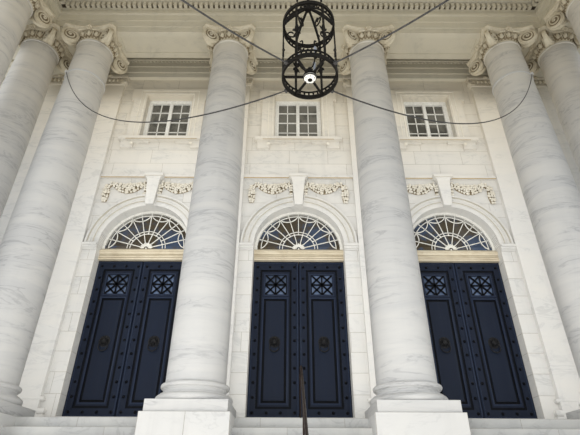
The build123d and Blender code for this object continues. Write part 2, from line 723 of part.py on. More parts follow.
def abacus(width, height):
    """A square block with hollowed sides and clipped corners."""
    half = width / 2
    clip = ABACUS_CLIP_SHARE * width
    dip = ABACUS_DIP_SHARE * width
    side = half - clip
    corners = []
    for turn in range(4):
        points = [(-side, -half), (0, -half + dip), (side, -half)]
        angle = radians(90 * turn)
        corners.append([(x * cos(angle) - y * sin(angle), x * sin(angle) + y * cos(angle)) for x, y in points])
    edges = Curve()
    for index, (start, middle, end) in enumerate(corners):
        edges += ThreePointArc(start, middle, end)
        edges += Line(end, corners[(index + 1) % 4][0])
    return extrude(make_face(edges), height)


def spiral_band():
    """The flat face of the raised band that winds into a volute's eye, about its middle."""
    reach = [(VOLUTE_RADIUS - VOLUTE_RIM) * VOLUTE_SHRINK**index for index in range(VOLUTE_QUARTERS + 1)]

    def point(radius, quarter):
        angle = radians(90 - 90 * quarter)
        return radius * cos(angle), radius * sin(angle)

    edges = Curve()
    for share in (1.0, 1.0 - VOLUTE_BAND_SHARE):
        for index in range(VOLUTE_QUARTERS):
            start, end = share * reach[index], share * reach[index + 1]
            middle = point((start * end) ** 0.5, index + 0.5)
            edges += ThreePointArc(point(start, index), middle, point(end, index + 1))
    for index in (0, VOLUTE_QUARTERS):
        edges += Line(point(reach[index], index), point((1.0 - VOLUTE_BAND_SHARE) * reach[index], index))
    return make_face(edges)


def volute():
    """An upright scroll: a disc with a raised spiral on both faces and a round eye."""
    half = VOLUTE_THICKNESS / 2
    eye = VOLUTE_RADIUS * VOLUTE_SHRINK**VOLUTE_QUARTERS
    body = Rot(90, 0, 0) * Cylinder(VOLUTE_RADIUS, VOLUTE_THICKNESS)
    body += extrude(Plane.XZ * spiral_band(), half + VOLUTE_BAND_DEPTH, both=True)
    return body + Rot(90, 0, 0) * Cylinder(eye, VOLUTE_THICKNESS + 4 * VOLUTE_BAND_DEPTH)


def capital():
    """A capital with four diagonal volutes under a hollow-sided abacus."""
    low = COLUMN_HEIGHT - CAPITAL_HEIGHT
    top = SHAFT_TOP_DIAMETER / 2
    under = COLUMN_HEIGHT - ABACUS_HEIGHT
    swell = top + ECHINUS_SWELL
    body = turned(
        (0, low),
        (top, low),
        (top, low + 2 * NECK_BEAD),
        ((swell - 0.25 * ECHINUS_SWELL, low + 0.4 * CAPITAL_HEIGHT), (swell, under - ABACUS_HEIGHT)),
        (swell - 0.2 * ECHINUS_SWELL, under),
        (0, under),
    )
    body += Pos(0, 0, under) * abacus(ABACUS_WIDTH, ABACUS_HEIGHT)
    reach = ABACUS_WIDTH / 2**0.5 * VOLUTE_REACH_SHARE - VOLUTE_RADIUS
    drop = 2 * VOLUTE_RADIUS
    neck = Cylinder(top + NECK_BEAD + 2, drop)
    scroll = Pos(0, 0, under - VOLUTE_RADIUS + VOLUTE_SEAT) * volute()
    scroll -= Pos(-reach, 0, low + NECK_BEAD - drop / 2) * neck
    for turn in range(4):
        body += Rot(0, 0, 45 + 90 * turn) * Pos(reach, 0, 0) * scroll
    return body


def on_columns(piece):
    """A copy of a column piece on each pedestal."""
    return [Pos(x, y, PORCH_LEVEL) * piece for x, y in COLUMN_PLACES]


# Entablatures


def portico_layer(low, high, out, inside):
    """One course of the porch entablature: a ring over the columns, run back to the wall."""
    wide = PORTICO_HALF + out
    narrow = SIDE_COLUMN - BEAM_WIDTH / 2 - inside
    reach = BEAM_WIDTH / 2 + inside
    course = block(-wide, wide, -OUTER_ROW_OFFSET - BEAM_WIDTH / 2 - out, -PILASTER_PROJECTION, low, high)
    course -= block(-narrow, narrow, -OUTER_ROW_OFFSET + reach, -INNER_ROW_OFFSET - reach, low - 1, high + 1)
    course -= block(-narrow, narrow, -INNER_ROW_OFFSET + reach, 0, low - 1, high + 1)
    return course


def main_layer(low, high, out):
    """One course of the entablature round the main block."""
    wide = HALF_WIDTH + PILASTER_PROJECTION + out
    edge = PILASTER_PROJECTION + out
    inner = HALF_WIDTH - WALL
    course = block(-wide, wide, -edge, MAIN_DEPTH + edge, low, high)
    return course - block(-inner, inner, WALL, MAIN_DEPTH - WALL, low - 1, high + 1)


def stacked(layers, low, course):
    """Fuses courses of the given heights upward from a level."""
    body = None
    for layer in layers:
        piece = course(low, low + layer[0], *layer[1:])
        body = piece if body is None else body + piece
        low += layer[0]
    return body


def soffit_panels():
    """The sunk panels in the undersides of the porch beams, between the columns."""
    half_beam = BEAM_WIDTH / 2 - SOFFIT_MARGIN
    inset = ABACUS_WIDTH / 2 + SOFFIT_MARGIN / 2
    panels = []
    half = BAY / 2 - inset
    low, high = SOFFIT - 1, SOFFIT + SOFFIT_PANEL_DEPTH
    for row in (-INNER_ROW_OFFSET, -OUTER_ROW_OFFSET):
        for x in DOOR_BAYS:
            panels.append(block(x - half, x + half, row - half_beam, row + half_beam, low, high))
    near, far = COUPLING + INNER_ROW_OFFSET + inset, OUTER_ROW_OFFSET - COUPLING - inset
    for side in (-1, 1):
        left, right = side * SIDE_COLUMN - half_beam, side * SIDE_COLUMN + half_beam
        panels.append(block(left, right, -far, -near, low, high))
    return panels


def portico_entablature():
    """Architrave, frieze and cornice of the porch."""
    layers = ARCHITRAVE_LAYERS + FRIEZE_LAYERS + CORNICE_LAYERS
    body = stacked(layers, SOFFIT, portico_layer)
    for panel in soffit_panels():
        body -= panel
    return body + portico_layer(CYMA_LEVEL, CORNICE_TOP, CYMA_PROJECTION, 0)


def main_entablature(portico):
    """Architrave, frieze and cornice of the main block, stopped against the porch."""
    layers = [layer[:2] for layer in ARCHITRAVE_LAYERS + FRIEZE_LAYERS + CORNICE_LAYERS]
    body = stacked(layers, SOFFIT, main_layer)
    body += main_layer(CYMA_LEVEL, CORNICE_TOP, CYMA_PROJECTION)
    body -= block(-SIDE_COLUMN, SIDE_COLUMN, -INNER_ROW_OFFSET, -PILASTER_PROJECTION, FRIEZE_LEVEL, CORNICE_TOP)
    return body - portico


def portico_ceiling():
    """Two ceiling slabs resting on the inner cornice ledges."""
    narrow = SIDE_COLUMN - BEAM_WIDTH / 2
    reach = BEAM_WIDTH / 2
    low, high = CEILING, CEILING + CEILING_THICKNESS
    main = block(-narrow, narrow, -OUTER_ROW_OFFSET + reach, -INNER_ROW_OFFSET - reach, low, high)
    return [main, block(-narrow, narrow, -INNER_ROW_OFFSET + reach, -PILASTER_PROJECTION, low, high)]


def portico_roof():
    """The flat roof over the porch."""
    edge = PORTICO_HALF + BEAM_WIDTH / 4
    front = PORTICO_FRONT - BEAM_WIDTH / 4
    return block(-edge, edge, front, -PILASTER_PROJECTION, CORNICE_TOP, ROOF_TOP)


def main_roof():
    """The flat roof over the main block."""
    return block(-HALF_WIDTH, HALF_WIDTH, -PILASTER_PROJECTION, MAIN_DEPTH, CORNICE_TOP, ROOF_TOP)


def parapets():
    """Low parapets on both roofs."""
    low, high = ROOF_TOP, ROOF_TOP + PARAPET_HEIGHT
    thick = PARAPET_THICKNESS
    front = -PILASTER_PROJECTION
    main = block(-HALF_WIDTH, HALF_WIDTH, front, MAIN_DEPTH, low, high)
    inner = HALF_WIDTH - thick
    main -= block(-inner, inner, front + thick, MAIN_DEPTH - thick, low - 1, high + 1)
    edge = PORTICO_HALF
    porch = block(-edge, edge, PORTICO_FRONT, front, low, high)
    porch -= block(-edge + thick, edge - thick, PORTICO_FRONT + thick, front + 1, low - 1, high + 1)
    return main, porch


# Lantern


def lantern_hoop(level):
    """One flat hoop of the cage."""
    hoop = Cylinder(LANTERN_RADIUS, LANTERN_HOOP) - Cylinder(LANTERN_RADIUS - LANTERN_BAR, LANTERN_HOOP)
    return Pos(0, LANTERN_Y, level) * hoop


def lantern_cage():
    """Two hoops, upright bars, a spoked wheel below and ribs rising to a crown."""
    top, crown = LANTERN_TOP, LANTERN_TOP + LANTERN_CROWN_HEIGHT
    ring = LANTERN_RADIUS - LANTERN_BAR / 2
    half = LANTERN_BAR / 2
    cage = lantern_hoop(LANTERN_BOTTOM) + lantern_hoop(top)
    rib_in, rib_out = ring - half + HOOP_LIP, ring + half - HOOP_LIP
    outside = ((0.62 * ring, top + 0.62 * LANTERN_CROWN_HEIGHT), (half, crown))
    inside = ((0.56 * ring, top + 0.5 * LANTERN_CROWN_HEIGHT), (rib_in, top))
    rib = Plane.XZ * outline((rib_in, top), (rib_out, top), outside, (half, crown - LANTERN_BAR), inside)
    for index in range(LANTERN_BAR_COUNT):
        turn = Pos(0, LANTERN_Y, 0) * Rot(0, 0, 360 * index / LANTERN_BAR_COUNT)
        upright = Pos(ring, 0, LANTERN_BOTTOM + LANTERN_CAGE_HEIGHT / 2)
        cage += turn * upright * Box(LANTERN_BAR - 2 * HOOP_LIP, LANTERN_BAR, LANTERN_CAGE_HEIGHT)
        cage += turn * extrude(rib, half, both=True)
        cage += turn * Pos(ring / 2, 0, LANTERN_BOTTOM) * Box(ring, LANTERN_BAR, LANTERN_BAR)
    cage += Pos(0, LANTERN_Y, LANTERN_BOTTOM) * Cylinder(LANTERN_HUB_RADIUS, LANTERN_HOOP)
    return cage + Pos(0, LANTERN_Y, crown) * Cylinder(LANTERN_CROWN_RADIUS, 2 * LANTERN_CROWN_RADIUS)


def lantern_rod():
    """The rod that carries the lantern from the ceiling, with its rose."""
    low = LANTERN_TOP + LANTERN_CROWN_HEIGHT + LANTERN_CROWN_RADIUS
    rod = Pos(0, LANTERN_Y, (low + CEILING) / 2) * Cylinder(LANTERN_ROD_RADIUS, CEILING - low)
    rose = Cylinder(LANTERN_ROSE_RADIUS, LANTERN_ROSE_HEIGHT)
    return rod + Pos(0, LANTERN_Y, CEILING - LANTERN_ROSE_HEIGHT / 2) * rose


def lantern_candles():
    """Candle lamps standing on the spokes of the bottom wheel."""
    candles = []
    for index in range(LANTERN_BAR_COUNT):
        turn = Pos(0, LANTERN_Y, LANTERN_BOTTOM + LANTERN_BAR / 2) * Rot(0, 0, 360 * index / LANTERN_BAR_COUNT)
        place = Pos(LANTERN_RADIUS * CANDLE_CIRCLE_SHARE, 0, CANDLE_HEIGHT / 2)
        candles.append(turn * place * Cylinder(CANDLE_RADIUS, CANDLE_HEIGHT))
    return candles


def shaft_radius(level):
    """The radius of a column shaft at a level above the porch, read from the shaft itself."""
    ring = column_shaft() & Pos(0, 0, level) * Cylinder(SHAFT_BOTTOM_DIAMETER, 2)
    return ring.bounding_box().size.X / 2


def stay(side, row, sag):
    """A slack wire from the lantern's bottom hoop to a band round a column; row is the column's Y."""
    radius = shaft_radius(STAY_RISE - STAY_BAND_HEIGHT / 2) + SEAT
    outer = radius + STAY_BAND_THICKNESS
    hold = outer + STAY_LUG / 3
    across, along = side * 1.5 * BAY, row - LANTERN_Y
    gap = (across**2 + along**2) ** 0.5
    straight = (gap**2 - hold**2) ** 0.5
    turn = hold / gap
    lean = straight / gap
    hand = side if row > LANTERN_Y else -side
    way_x = (across * lean + hand * along * turn) / gap
    way_y = (along * lean - hand * across * turn) / gap
    start = LANTERN_RADIUS + SEAT + STAY_HOOK / 2
    middle = (start + straight) / 2
    levels = (LANTERN_BOTTOM, (LANTERN_BOTTOM + STAY_LEVEL) / 2 - sag, STAY_LEVEL)
    runs = zip((start, middle, straight), levels)
    path = ThreePointArc(*[(way_x * run, LANTERN_Y + way_y * run, level) for run, level in runs])
    wire = sweep(Plane(path @ 0, z_dir=path % 0) * Circle(STAY_RADIUS), path=path)
    hook = Rot(0, 0, degrees(atan2(way_y, way_x))) * Box(STAY_HOOK, STAY_HOOK, STAY_HOOK)
    wire += Pos(way_x * start, LANTERN_Y + way_y * start, LANTERN_BOTTOM) * hook
    band = Cylinder(outer, STAY_BAND_HEIGHT) - Cylinder(radius, STAY_BAND_HEIGHT)
    aim = degrees(atan2(way_y * straight - along, way_x * straight - across))
    band += Rot(0, 0, aim) * Pos(hold, 0, 0) * Box(STAY_LUG, STAY_LUG, STAY_BAND_HEIGHT + 2 * STAY_RADIUS)
    return wire + Pos(across, row, STAY_LEVEL) * band


def lantern_stays():
    """The four slack wires that steady the lantern from the single columns on each side."""
    made = []
    for row, sag in ((-INNER_ROW_OFFSET, STAY_INNER_SAG), (-OUTER_ROW_OFFSET, STAY_OUTER_SAG)):
        made += [stay(side, row, sag) for side in (-1, 1)]
    return made


# Handrail


def handrail():
    """The middle handrail: a level length on the landing, a length down the stair, and its posts."""
    top = PORCH_LEVEL + RAIL_HEIGHT
    start = -INNER_ROW_OFFSET * RAIL_START
    posts = [(start, PORCH_LEVEL, top)]
    for index in range(STEP_COUNT - 1, 3, -3):
        level = PORCH_LEVEL - index * RISER
        posts.append((-INNER_ROW_OFFSET - (index - 0.5) * TREAD, level, level + RISER / 2 + RAIL_HEIGHT))
    foot = (0, posts[1][0], posts[1][2])
    rail = tube([(0, start, top), (0, -INNER_ROW_OFFSET, top), foot], RAIL_RADIUS, 300)
    for y, low, high in posts:
        rail += Pos(0, y, (low + high) / 2) * Cylinder(RAIL_RADIUS * 0.7, high - low)
    return rail


def bay_pieces():
    """Everything that repeats bay by bay."""
    same = {
        "keystones": keystone(),
        "archivolts": archivolt(),
        "window_surrounds": window_surround(),
        "window_frames": window_frame(),
        "window_glass": window_glass(),
    }
    nodes = {name: on_walls(piece, piece) for name, piece in same.items()}
    nodes["arched_frames"] = on_walls(arched_frame(SPRING), arched_frame(LOWER_SILL))
    nodes["arched_glass"] = on_walls(arched_glass(SPRING), arched_glass(LOWER_SILL))
    return nodes


def build():
    """All the nodes, drawn about the wall's front face."""
    nodes = {**front_wall(), **pilasters(), **bay_pieces()}
    nodes["podium_walls"] = podium_walls()
    nodes["left_wall"] = side_wall(-1)
    nodes["right_wall"] = side_wall(1)
    nodes["back_wall"] = back_wall()
    nodes["ground_floor"] = floor_slab(PORCH_LEVEL, FLOOR_LEVEL)
    nodes["upper_floor"] = floor_slab(BELT_LEVEL - FLOOR_THICKNESS, BELT_LEVEL)
    belt = belt_course()
    for pieces in (nodes["front_pilasters"], nodes["side_pilasters"], nodes["back_pilasters"]):
        for piece in pieces:
            belt -= piece
    nodes["belt_course"] = belt
    nodes["porch_landing"] = landing()
    nodes["entrance_steps"] = stair()
    nodes["pedestals"] = pedestals()
    nodes["column_bases"] = on_columns(column_base())
    nodes["column_shafts"] = on_columns(column_shaft())
    nodes["column_capitals"] = on_columns(capital())
    nodes["portico_entablature"] = portico_entablature()
    nodes["main_entablature"] = main_entablature(nodes["portico_entablature"])
    nodes["portico_ceiling"] = portico_ceiling()
    nodes["portico_roof"] = portico_roof()
    nodes["main_roof"] = main_roof()
    nodes["main_parapet"], nodes["portico_parapet"] = parapets()
    nodes["door_sills"] = [Pos(x, 0, 0) * door_sill() for x in DOOR_BAYS]
    nodes["door_transoms"] = [Pos(x, 0, 0) * transom() for x in DOOR_BAYS]
    nodes["lantern_cage"] = lantern_cage()
    nodes["lantern_rod"] = lantern_rod()
    nodes["lantern_candles"] = lantern_candles()
    nodes["lantern_stays"] = lantern_stays()
    nodes["handrail"] = handrail()
    for bay, x in zip(("west", "middle", "east"), DOOR_BAYS):
        for hand, side in (("left", -1), ("right", 1)):
            nodes[f"{bay}_door_{hand}_leaf"] = Pos(x, 0, 0) * leaf(side)
            nodes[f"{bay}_door_{hand}_knocker"] = Pos(x, 0, 0) * knocker(side)
    return nodes


def write(name, shape):
    """Writes one node in the building's own frame."""
    solids = shape if isinstance(shape, list) else [shape]
    moved = [solid for piece in solids for solid in (Pos(0, TO_ORIGIN, 0) * piece).solids()]
    export_step(Compound(children=moved) if len(moved) > 1 else moved[0], f"parts/{name}.step")


os.makedirs("parts", exist_ok=True)
for node, shape in build().items():
    write(node, shape)
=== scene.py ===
import math
import random

import bmesh
import bpy
from mathutils import Matrix, Vector


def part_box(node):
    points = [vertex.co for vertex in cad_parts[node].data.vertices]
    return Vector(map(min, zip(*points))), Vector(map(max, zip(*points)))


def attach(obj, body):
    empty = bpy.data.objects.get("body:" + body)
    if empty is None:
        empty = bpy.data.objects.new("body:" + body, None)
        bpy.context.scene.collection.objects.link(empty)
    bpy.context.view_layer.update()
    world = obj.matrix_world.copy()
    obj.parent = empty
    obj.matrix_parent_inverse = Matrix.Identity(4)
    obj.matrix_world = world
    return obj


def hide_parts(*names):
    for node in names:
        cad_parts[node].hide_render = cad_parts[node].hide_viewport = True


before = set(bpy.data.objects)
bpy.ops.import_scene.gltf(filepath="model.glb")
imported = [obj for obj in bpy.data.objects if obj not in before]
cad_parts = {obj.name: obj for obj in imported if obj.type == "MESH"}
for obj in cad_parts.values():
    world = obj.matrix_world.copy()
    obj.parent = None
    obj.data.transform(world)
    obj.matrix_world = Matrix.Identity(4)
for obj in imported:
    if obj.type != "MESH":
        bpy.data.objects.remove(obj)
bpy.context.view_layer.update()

bl_info = {
    "name": "Marble Portico Building",
    "version": (1, 0, 0),
    "blender": (4, 5, 0),
    "location": "View3D > Sidebar > Portico",
    "description": "Dresses the packed solids of an office building with a columned marble porch",
    "category": "Object",
}

# Distances of the plan, in metres

BAY = 3.66
SIDE_COLUMN = 6.97  # from the middle to the columns at the porch's sides
CORNER = 11.465  # from the middle to the corner pilasters
INNER_ROW = 1.24  # from the front wall to a row of columns
OUTER_ROW = 10.9
ROW_STEP = 1.48  # from a row to the side column beside it
LEAF_GAP = 0.006  # between a leaf and its jamb
PILASTER_HALF = 0.871 / 2
BEAM_HALF = 0.853 / 2
WINDOW_HALF = 0.65
SASH_FRAME = 0.062
RISERS = 14

# Places read from the frame, in metres

WALL_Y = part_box("front_upper_wall")[0][1]
BACK_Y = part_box("back_wall")[1][1]
HALF_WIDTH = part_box("front_upper_wall")[1][0]
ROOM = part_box("ground_floor")
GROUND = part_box("podium_walls")[0][2]
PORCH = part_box("porch_landing")[1][2]
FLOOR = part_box("ground_floor")[1][2]
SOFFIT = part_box("main_entablature")[0][2]
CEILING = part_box("portico_ceiling")[0][2]
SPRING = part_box("front_arch_wall")[0][2]
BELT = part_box("front_upper_wall")[0][2]
DOOR_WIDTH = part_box("middle_door_right_leaf")[1][0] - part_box("middle_door_left_leaf")[0][0]
ARCH_RADIUS = DOOR_WIDTH / 2 + LEAF_GAP
WINDOW_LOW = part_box("window_frames")[0][2]
WINDOW_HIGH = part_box("window_frames")[1][2]
LOWER_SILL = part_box("arched_frames")[0][2]
DOOR_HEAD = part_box("door_transoms")[0][2]
GLASS_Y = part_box("arched_glass")[0][1]
SASH_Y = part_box("window_glass")[0][1]
ROW_INNER = WALL_Y - INNER_ROW
ROW_OUTER = WALL_Y - OUTER_ROW
FLANK = (SIDE_COLUMN + CORNER) / 2
DEPTH = BACK_Y - WALL_Y
COLUMN_X = (-SIDE_COLUMN, -1.5 * BAY, -0.5 * BAY, 0.5 * BAY, 1.5 * BAY, SIDE_COLUMN)
COLUMNS = [(x, y) for y in (ROW_INNER, ROW_OUTER) for x in COLUMN_X]
COLUMNS += [(s * SIDE_COLUMN, y) for s in (-1, 1) for y in (ROW_INNER - ROW_STEP, ROW_OUTER + ROW_STEP)]

# Directions

FRONT = (0, -1, 0)
EVEN = (1, 1, 1)
FACING = Matrix.Rotation(math.radians(90), 4, "X")
QUARTERS = [Matrix.Rotation(math.radians(90 * quarter), 4, "Z") for quarter in range(4)]
DIAGONALS = [Matrix.Rotation(math.radians(45 + 90 * quarter), 4, "Z") for quarter in range(4)]


def wall_place(x, y, turn=0):
    """The matrix that carries a piece drawn at the middle of the front wall to another bay."""
    return Matrix.Translation((x, y, 0)) @ Matrix.Rotation(math.radians(turn), 4, "Z")


def side_places(levels):
    """Places on the two side walls, at distances from the front wall."""
    return [wall_place(s * HALF_WIDTH, WALL_Y + y, 90 * s) for y in levels for s in (-1, 1)]


DOOR_BAYS = [wall_place(x, WALL_Y) for x in (-BAY, 0, BAY)]
WINDOW_BAYS = [wall_place(s * FLANK, WALL_Y) for s in (-1, 1)]
WINDOW_BAYS += [wall_place(i * FLANK / 2, BACK_Y, 180) for i in range(-2, 3)]
WINDOW_BAYS += side_places((DEPTH / 2 - BAY, DEPTH / 2, DEPTH / 2 + BAY))
ALL_BAYS = DOOR_BAYS + WINDOW_BAYS
PILASTER_EDGE = PILASTER_HALF + 0.14
FRONT_X = (BAY / 2, 1.5 * BAY, SIDE_COLUMN, CORNER)
BACK_X = (0.75 * FLANK, 0.25 * FLANK, CORNER)
PILASTERS = [wall_place(s * x, WALL_Y) for x in FRONT_X for s in (-1, 1)]
PILASTERS += [wall_place(s * x, BACK_Y, 180) for x in BACK_X for s in (-1, 1)]
PILASTERS += side_places((PILASTER_EDGE, (DEPTH - BAY) / 2, (DEPTH + BAY) / 2, DEPTH - PILASTER_EDGE))


# Settings


class StoneSettings(bpy.types.PropertyGroup):
    """Sizes and colours of the masonry."""

    marble: bpy.props.FloatVectorProperty(
        name="Marble", description="Colour of the wall marble", size=3, subtype="COLOR",
        min=0, max=1, default=(0.70, 0.685, 0.65),
    )
    column: bpy.props.FloatVectorProperty(
        name="Columns", description="Colour of the columns", size=3, subtype="COLOR",
        min=0, max=1, default=(0.74, 0.735, 0.72),
    )
    # The tan of the thin lines under the window sills and the belt: painted shadow lines.
    tan: bpy.props.FloatVectorProperty(
        name="Shadow Line Colour", description="Colour of the painted shadow lines under the sills and the belt", size=3, subtype="COLOR",
        min=0, max=1, default=(0.48, 0.36, 0.20),
    )
    plaster: bpy.props.FloatVectorProperty(
        name="Ceiling Plaster", description="Colour of the porch ceiling", size=3, subtype="COLOR",
        min=0, max=1, default=(0.66, 0.58, 0.42),
    )
    # Painted warm light: the cream that the stone is tinted with high up stands in for warm bounce light under the
    # eaves.
    painted_warm_light: bpy.props.FloatVectorProperty(
        name="Painted Warm Light", description="Colour of the painted warm light high up under the eaves",
        size=3, subtype="COLOR", min=0, max=1, default=(1.0, 0.89, 0.68),
    )
    course: bpy.props.FloatProperty(
        name="Course Height", description="Height of one course of stones", subtype="DISTANCE",
        min=0.2, max=1.0, default=0.427,
    )
    stone_length: bpy.props.FloatProperty(
        name="Stone Length", description="Usual length of a wall stone", subtype="DISTANCE",
        min=0.4, max=3.0, default=1.15,
    )
    joint: bpy.props.FloatProperty(
        name="Joint", description="Half width and depth of a joint", subtype="DISTANCE",
        min=0.001, max=0.02, default=0.004,
    )


class FittingSettings(bpy.types.PropertyGroup):
    """Sizes and colours of the doors, windows and metalwork."""

    door: bpy.props.FloatVectorProperty(
        name="Doors", description="Colour of the door leaves", size=3, subtype="COLOR",
        min=0, max=1, default=(0.007, 0.013, 0.031),
    )
    paint: bpy.props.FloatVectorProperty(
        name="White Paint", description="Colour of the window bars", size=3, subtype="COLOR",
        min=0, max=1, default=(0.74, 0.73, 0.68),
    )
    iron: bpy.props.FloatVectorProperty(
        name="Iron", description="Colour of the lantern and the handrail", size=3, subtype="COLOR",
        min=0, max=1, default=(0.006, 0.005, 0.004),
    )
    fan_bar: bpy.props.FloatProperty(
        name="Fanlight Bar", description="Width of a bar of the fanlights", subtype="DISTANCE",
        min=0.01, max=0.06, default=0.016,
    )
    window_bar: bpy.props.FloatProperty(
        name="Window Bar", description="Width of a window's glazing bar", subtype="DISTANCE",
        min=0.01, max=0.06, default=0.026,
    )
    stud: bpy.props.FloatProperty(
        name="Stud", description="Radius of a door stud", subtype="DISTANCE",
        min=0.01, max=0.05, default=0.032,
    )


def stone():
    return bpy.context.scene.portico_stone


def fitting():
    return bpy.context.scene.portico_fitting


# Mesh making


def upright(angle, reach=1.0):
    """A point on a circle that stands and faces the front."""
    return Vector((reach * math.cos(angle), 0, reach * math.sin(angle)))


def level_point(angle, reach=1.0):
    """A point on a level circle."""
    return Vector((reach * math.cos(angle), reach * math.sin(angle), 0))


def block(bm, low, high):
    """A rectangular block between two corners."""
    for vert in bmesh.ops.create_cube(bm, size=1)["verts"]:
        vert.co = Vector([(a + b) / 2 + c * (b - a) for a, b, c in zip(low, high, vert.co)])


def skin(bm, rings, closed=False):
    """A body between rings of as many points each."""
    count = len(rings[0])
    for low, high in zip(rings, rings[1:] + (rings[:1] if closed else [])):
        for i in range(count):
            j = (i + 1) % count
            bm.faces.new((low[i], low[j], high[j], high[i]))
    if not closed:
        bm.faces.new(rings[0][::-1])
        bm.faces.new(rings[-1])


def rod(bm, points, radius, sides=8, closed=False):
    """A round bar along points; the radius is one number, or one for each point."""
    points = [Vector(p) for p in points]
    radii = radius if isinstance(radius, (list, tuple)) else [radius] * len(points)
    rings, side = [], None
    for i, point in enumerate(points):
        before = points[i - 1] if closed or i else point
        after = points[(i + 1) % len(points)] if closed or i + 1 < len(points) else point
        ahead = (after - before).normalized()
        side = ahead.orthogonal() if side is None else side - ahead * side.dot(ahead)
        side.normalize()
        up = ahead.cross(side)
        ring = []
        for k in range(sides):
            angle = math.tau * k / sides
            ring.append(bm.verts.new(point + (side * math.cos(angle) + up * math.sin(angle)) * radii[i]))
        rings.append(ring)
    skin(bm, rings, closed=closed)


def strip(bm, points, profile, closed=False):
    """A moulding on the front: a profile of (away, out) pairs carried along points."""
    points = [Vector(p) for p in points]
    rings = []
    out = Vector(FRONT)
    for i, point in enumerate(points):
        before = points[i - 1] if closed or i else point
        after = points[(i + 1) % len(points)] if closed or i + 1 < len(points) else point
        into, away = point - before, after - point
        if into.length < 1e-9:
            into = away
        if away.length < 1e-9:
            away = into
        ahead = (into.normalized() + away.normalized()).normalized()
        side = ahead.cross(out).normalized()
        spread = 1 / max(0.35, ahead.dot(away.normalized()))
        rings.append([bm.verts.new(point + side * a * spread + out * o) for a, o in profile])
    skin(bm, rings, closed=closed)


POINT = 0.0001  # radius of a turned body that ends in a point


def turned(bm, centre, profile, sides=24, place=None):
    """A turned body; the profile is (radius, height) pairs, from the foot up."""
    rings = []
    for radius, height in profile:
        ring = []
        for k in range(sides):
            angle = math.tau * k / sides
            point = Vector((radius * math.cos(angle), radius * math.sin(angle), height))
            point = place @ point if place else point
            ring.append(bm.verts.new(point + Vector(centre)))
        rings.append(ring)
    skin(bm, rings)


def egg(bm, centre, radii, turn=None, sides=8, rings=6):
    """A rounded lump with three radii, or with one for all."""
    if isinstance(radii, float):
        radii = (radii, radii, radii)
    place = Matrix.Translation(centre) @ (turn.to_4x4() if turn else Matrix()) @ Matrix.Diagonal((*radii, 1))
    bmesh.ops.create_uvsphere(bm, u_segments=sides, v_segments=rings, radius=1, matrix=place)


def leaf(bm, foot, tip, width, lift, segments=4):
    """A carved leaf from its foot to its tip; lift is the rise of its rib."""
    foot, tip, lift = Vector(foot), Vector(tip), Vector(lift)
    side = (tip - foot).cross(lift).normalized()
    rings = []
    for i in range(segments + 1):
        t = i / segments
        half = width * math.sin(math.pi * (0.12 + 0.82 * t)) * 0.5
        centre = foot.lerp(tip, t)
        rise = lift * math.sin(math.pi * (0.15 + 0.75 * t))
        rings.append([
            bm.verts.new(centre - side * half),
            bm.verts.new(centre + rise),
            bm.verts.new(centre + side * half),
            bm.verts.new(centre - lift * 0.3),
        ])
    skin(bm, rings)


def arc(centre, radius, start, end, count, circle=upright):
    """Points of an arc, upright or level; angles in degrees."""
    angles = [math.radians(start + (end - start) * i / count) for i in range(count + 1)]
    return [Vector(centre) + circle(angle, radius) for angle in angles]


def repeat(template, places):
    """A bmesh with a copy of the template at each place."""
    template.verts.index_update()
    points = [vert.co.copy() for vert in template.verts]
    faces = [[vert.index for vert in face.verts] for face in template.faces]
    template.free()
    all_points, all_faces = [], []
    for place in places:
        start = len(all_points)
        all_points += [place @ point for point in points]
        all_faces += [[index + start for index in face] for face in faces]
    mesh = bpy.data.meshes.new("copies")
    mesh.from_pydata(all_points, [], all_faces)
    bm = bmesh.new()
    bm.from_mesh(mesh)
    bpy.data.meshes.remove(mesh)
    return bm


def new_object(name, bm, material):
    """An object of a bmesh, with its finish."""
    mesh = bpy.data.meshes.new(name)
    bm.to_mesh(mesh)
    bm.free()
    mesh.materials.append(material)
    made = bpy.data.objects.new(name, mesh)
    bpy.context.scene.collection.objects.link(made)
    return made


def piece(name, bm, material, slot, body="building", smooth=0, instead_of=()):
    """Makes an object of a bmesh that rides a body; smooth is the sharpest angle that stays soft."""
    bmesh.ops.recalc_face_normals(bm, faces=bm.faces)
    if smooth:
        for face in bm.faces:
            face.smooth = True
        for edge in bm.edges:
            edge.smooth = edge.calc_face_angle(0) < math.radians(smooth)
    made = new_object(name, bm, material)
    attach(made, body)
    if instead_of:
        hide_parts(*instead_of)


def finish(material, *nodes):
    """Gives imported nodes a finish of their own."""
    for node in nodes:
        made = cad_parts[node]
        if not made.material_slots:
            made.data.materials.append(material)
        for slot in made.material_slots:
            slot.material = material


# Materials


def add(tree, kind, inputs=None, **settings):
    """A shader node with its settings, and its inputs set or linked by name or number."""
    node = tree.nodes.new(kind)
    for key, value in settings.items():
        setattr(node, key, value)
    for key, value in (inputs or {}).items():
        if isinstance(value, bpy.types.NodeSocket):
            tree.links.new(value, node.inputs[key])
        else:
            node.inputs[key].default_value = value
    return node


def maths(tree, operation, first, second=0.0, third=0.0):
    return add(tree, "ShaderNodeMath", {0: first, 1: second, 2: third}, operation=operation).outputs[0]


def blend(tree, factor, first, second, mode="MIX"):
    """The colour between two colours."""
    inputs = {"Factor": factor, 6: first, 7: second}
    return add(tree, "ShaderNodeMix", inputs, data_type="RGBA", blend_type=mode).outputs[2]


def spread(tree, value, low, high, to_low=0.0, to_high=1.0):
    """A value moved from one range to another, smoothly, and held inside it."""
    inputs = {0: value, 1: low, 2: high, 3: to_low, 4: to_high}
    return add(tree, "ShaderNodeMapRange", inputs, interpolation_type="SMOOTHSTEP").outputs[0]


def rgba(colour, share=1.0):
    return (colour[0] * share, colour[1] * share, colour[2] * share, 1.0)


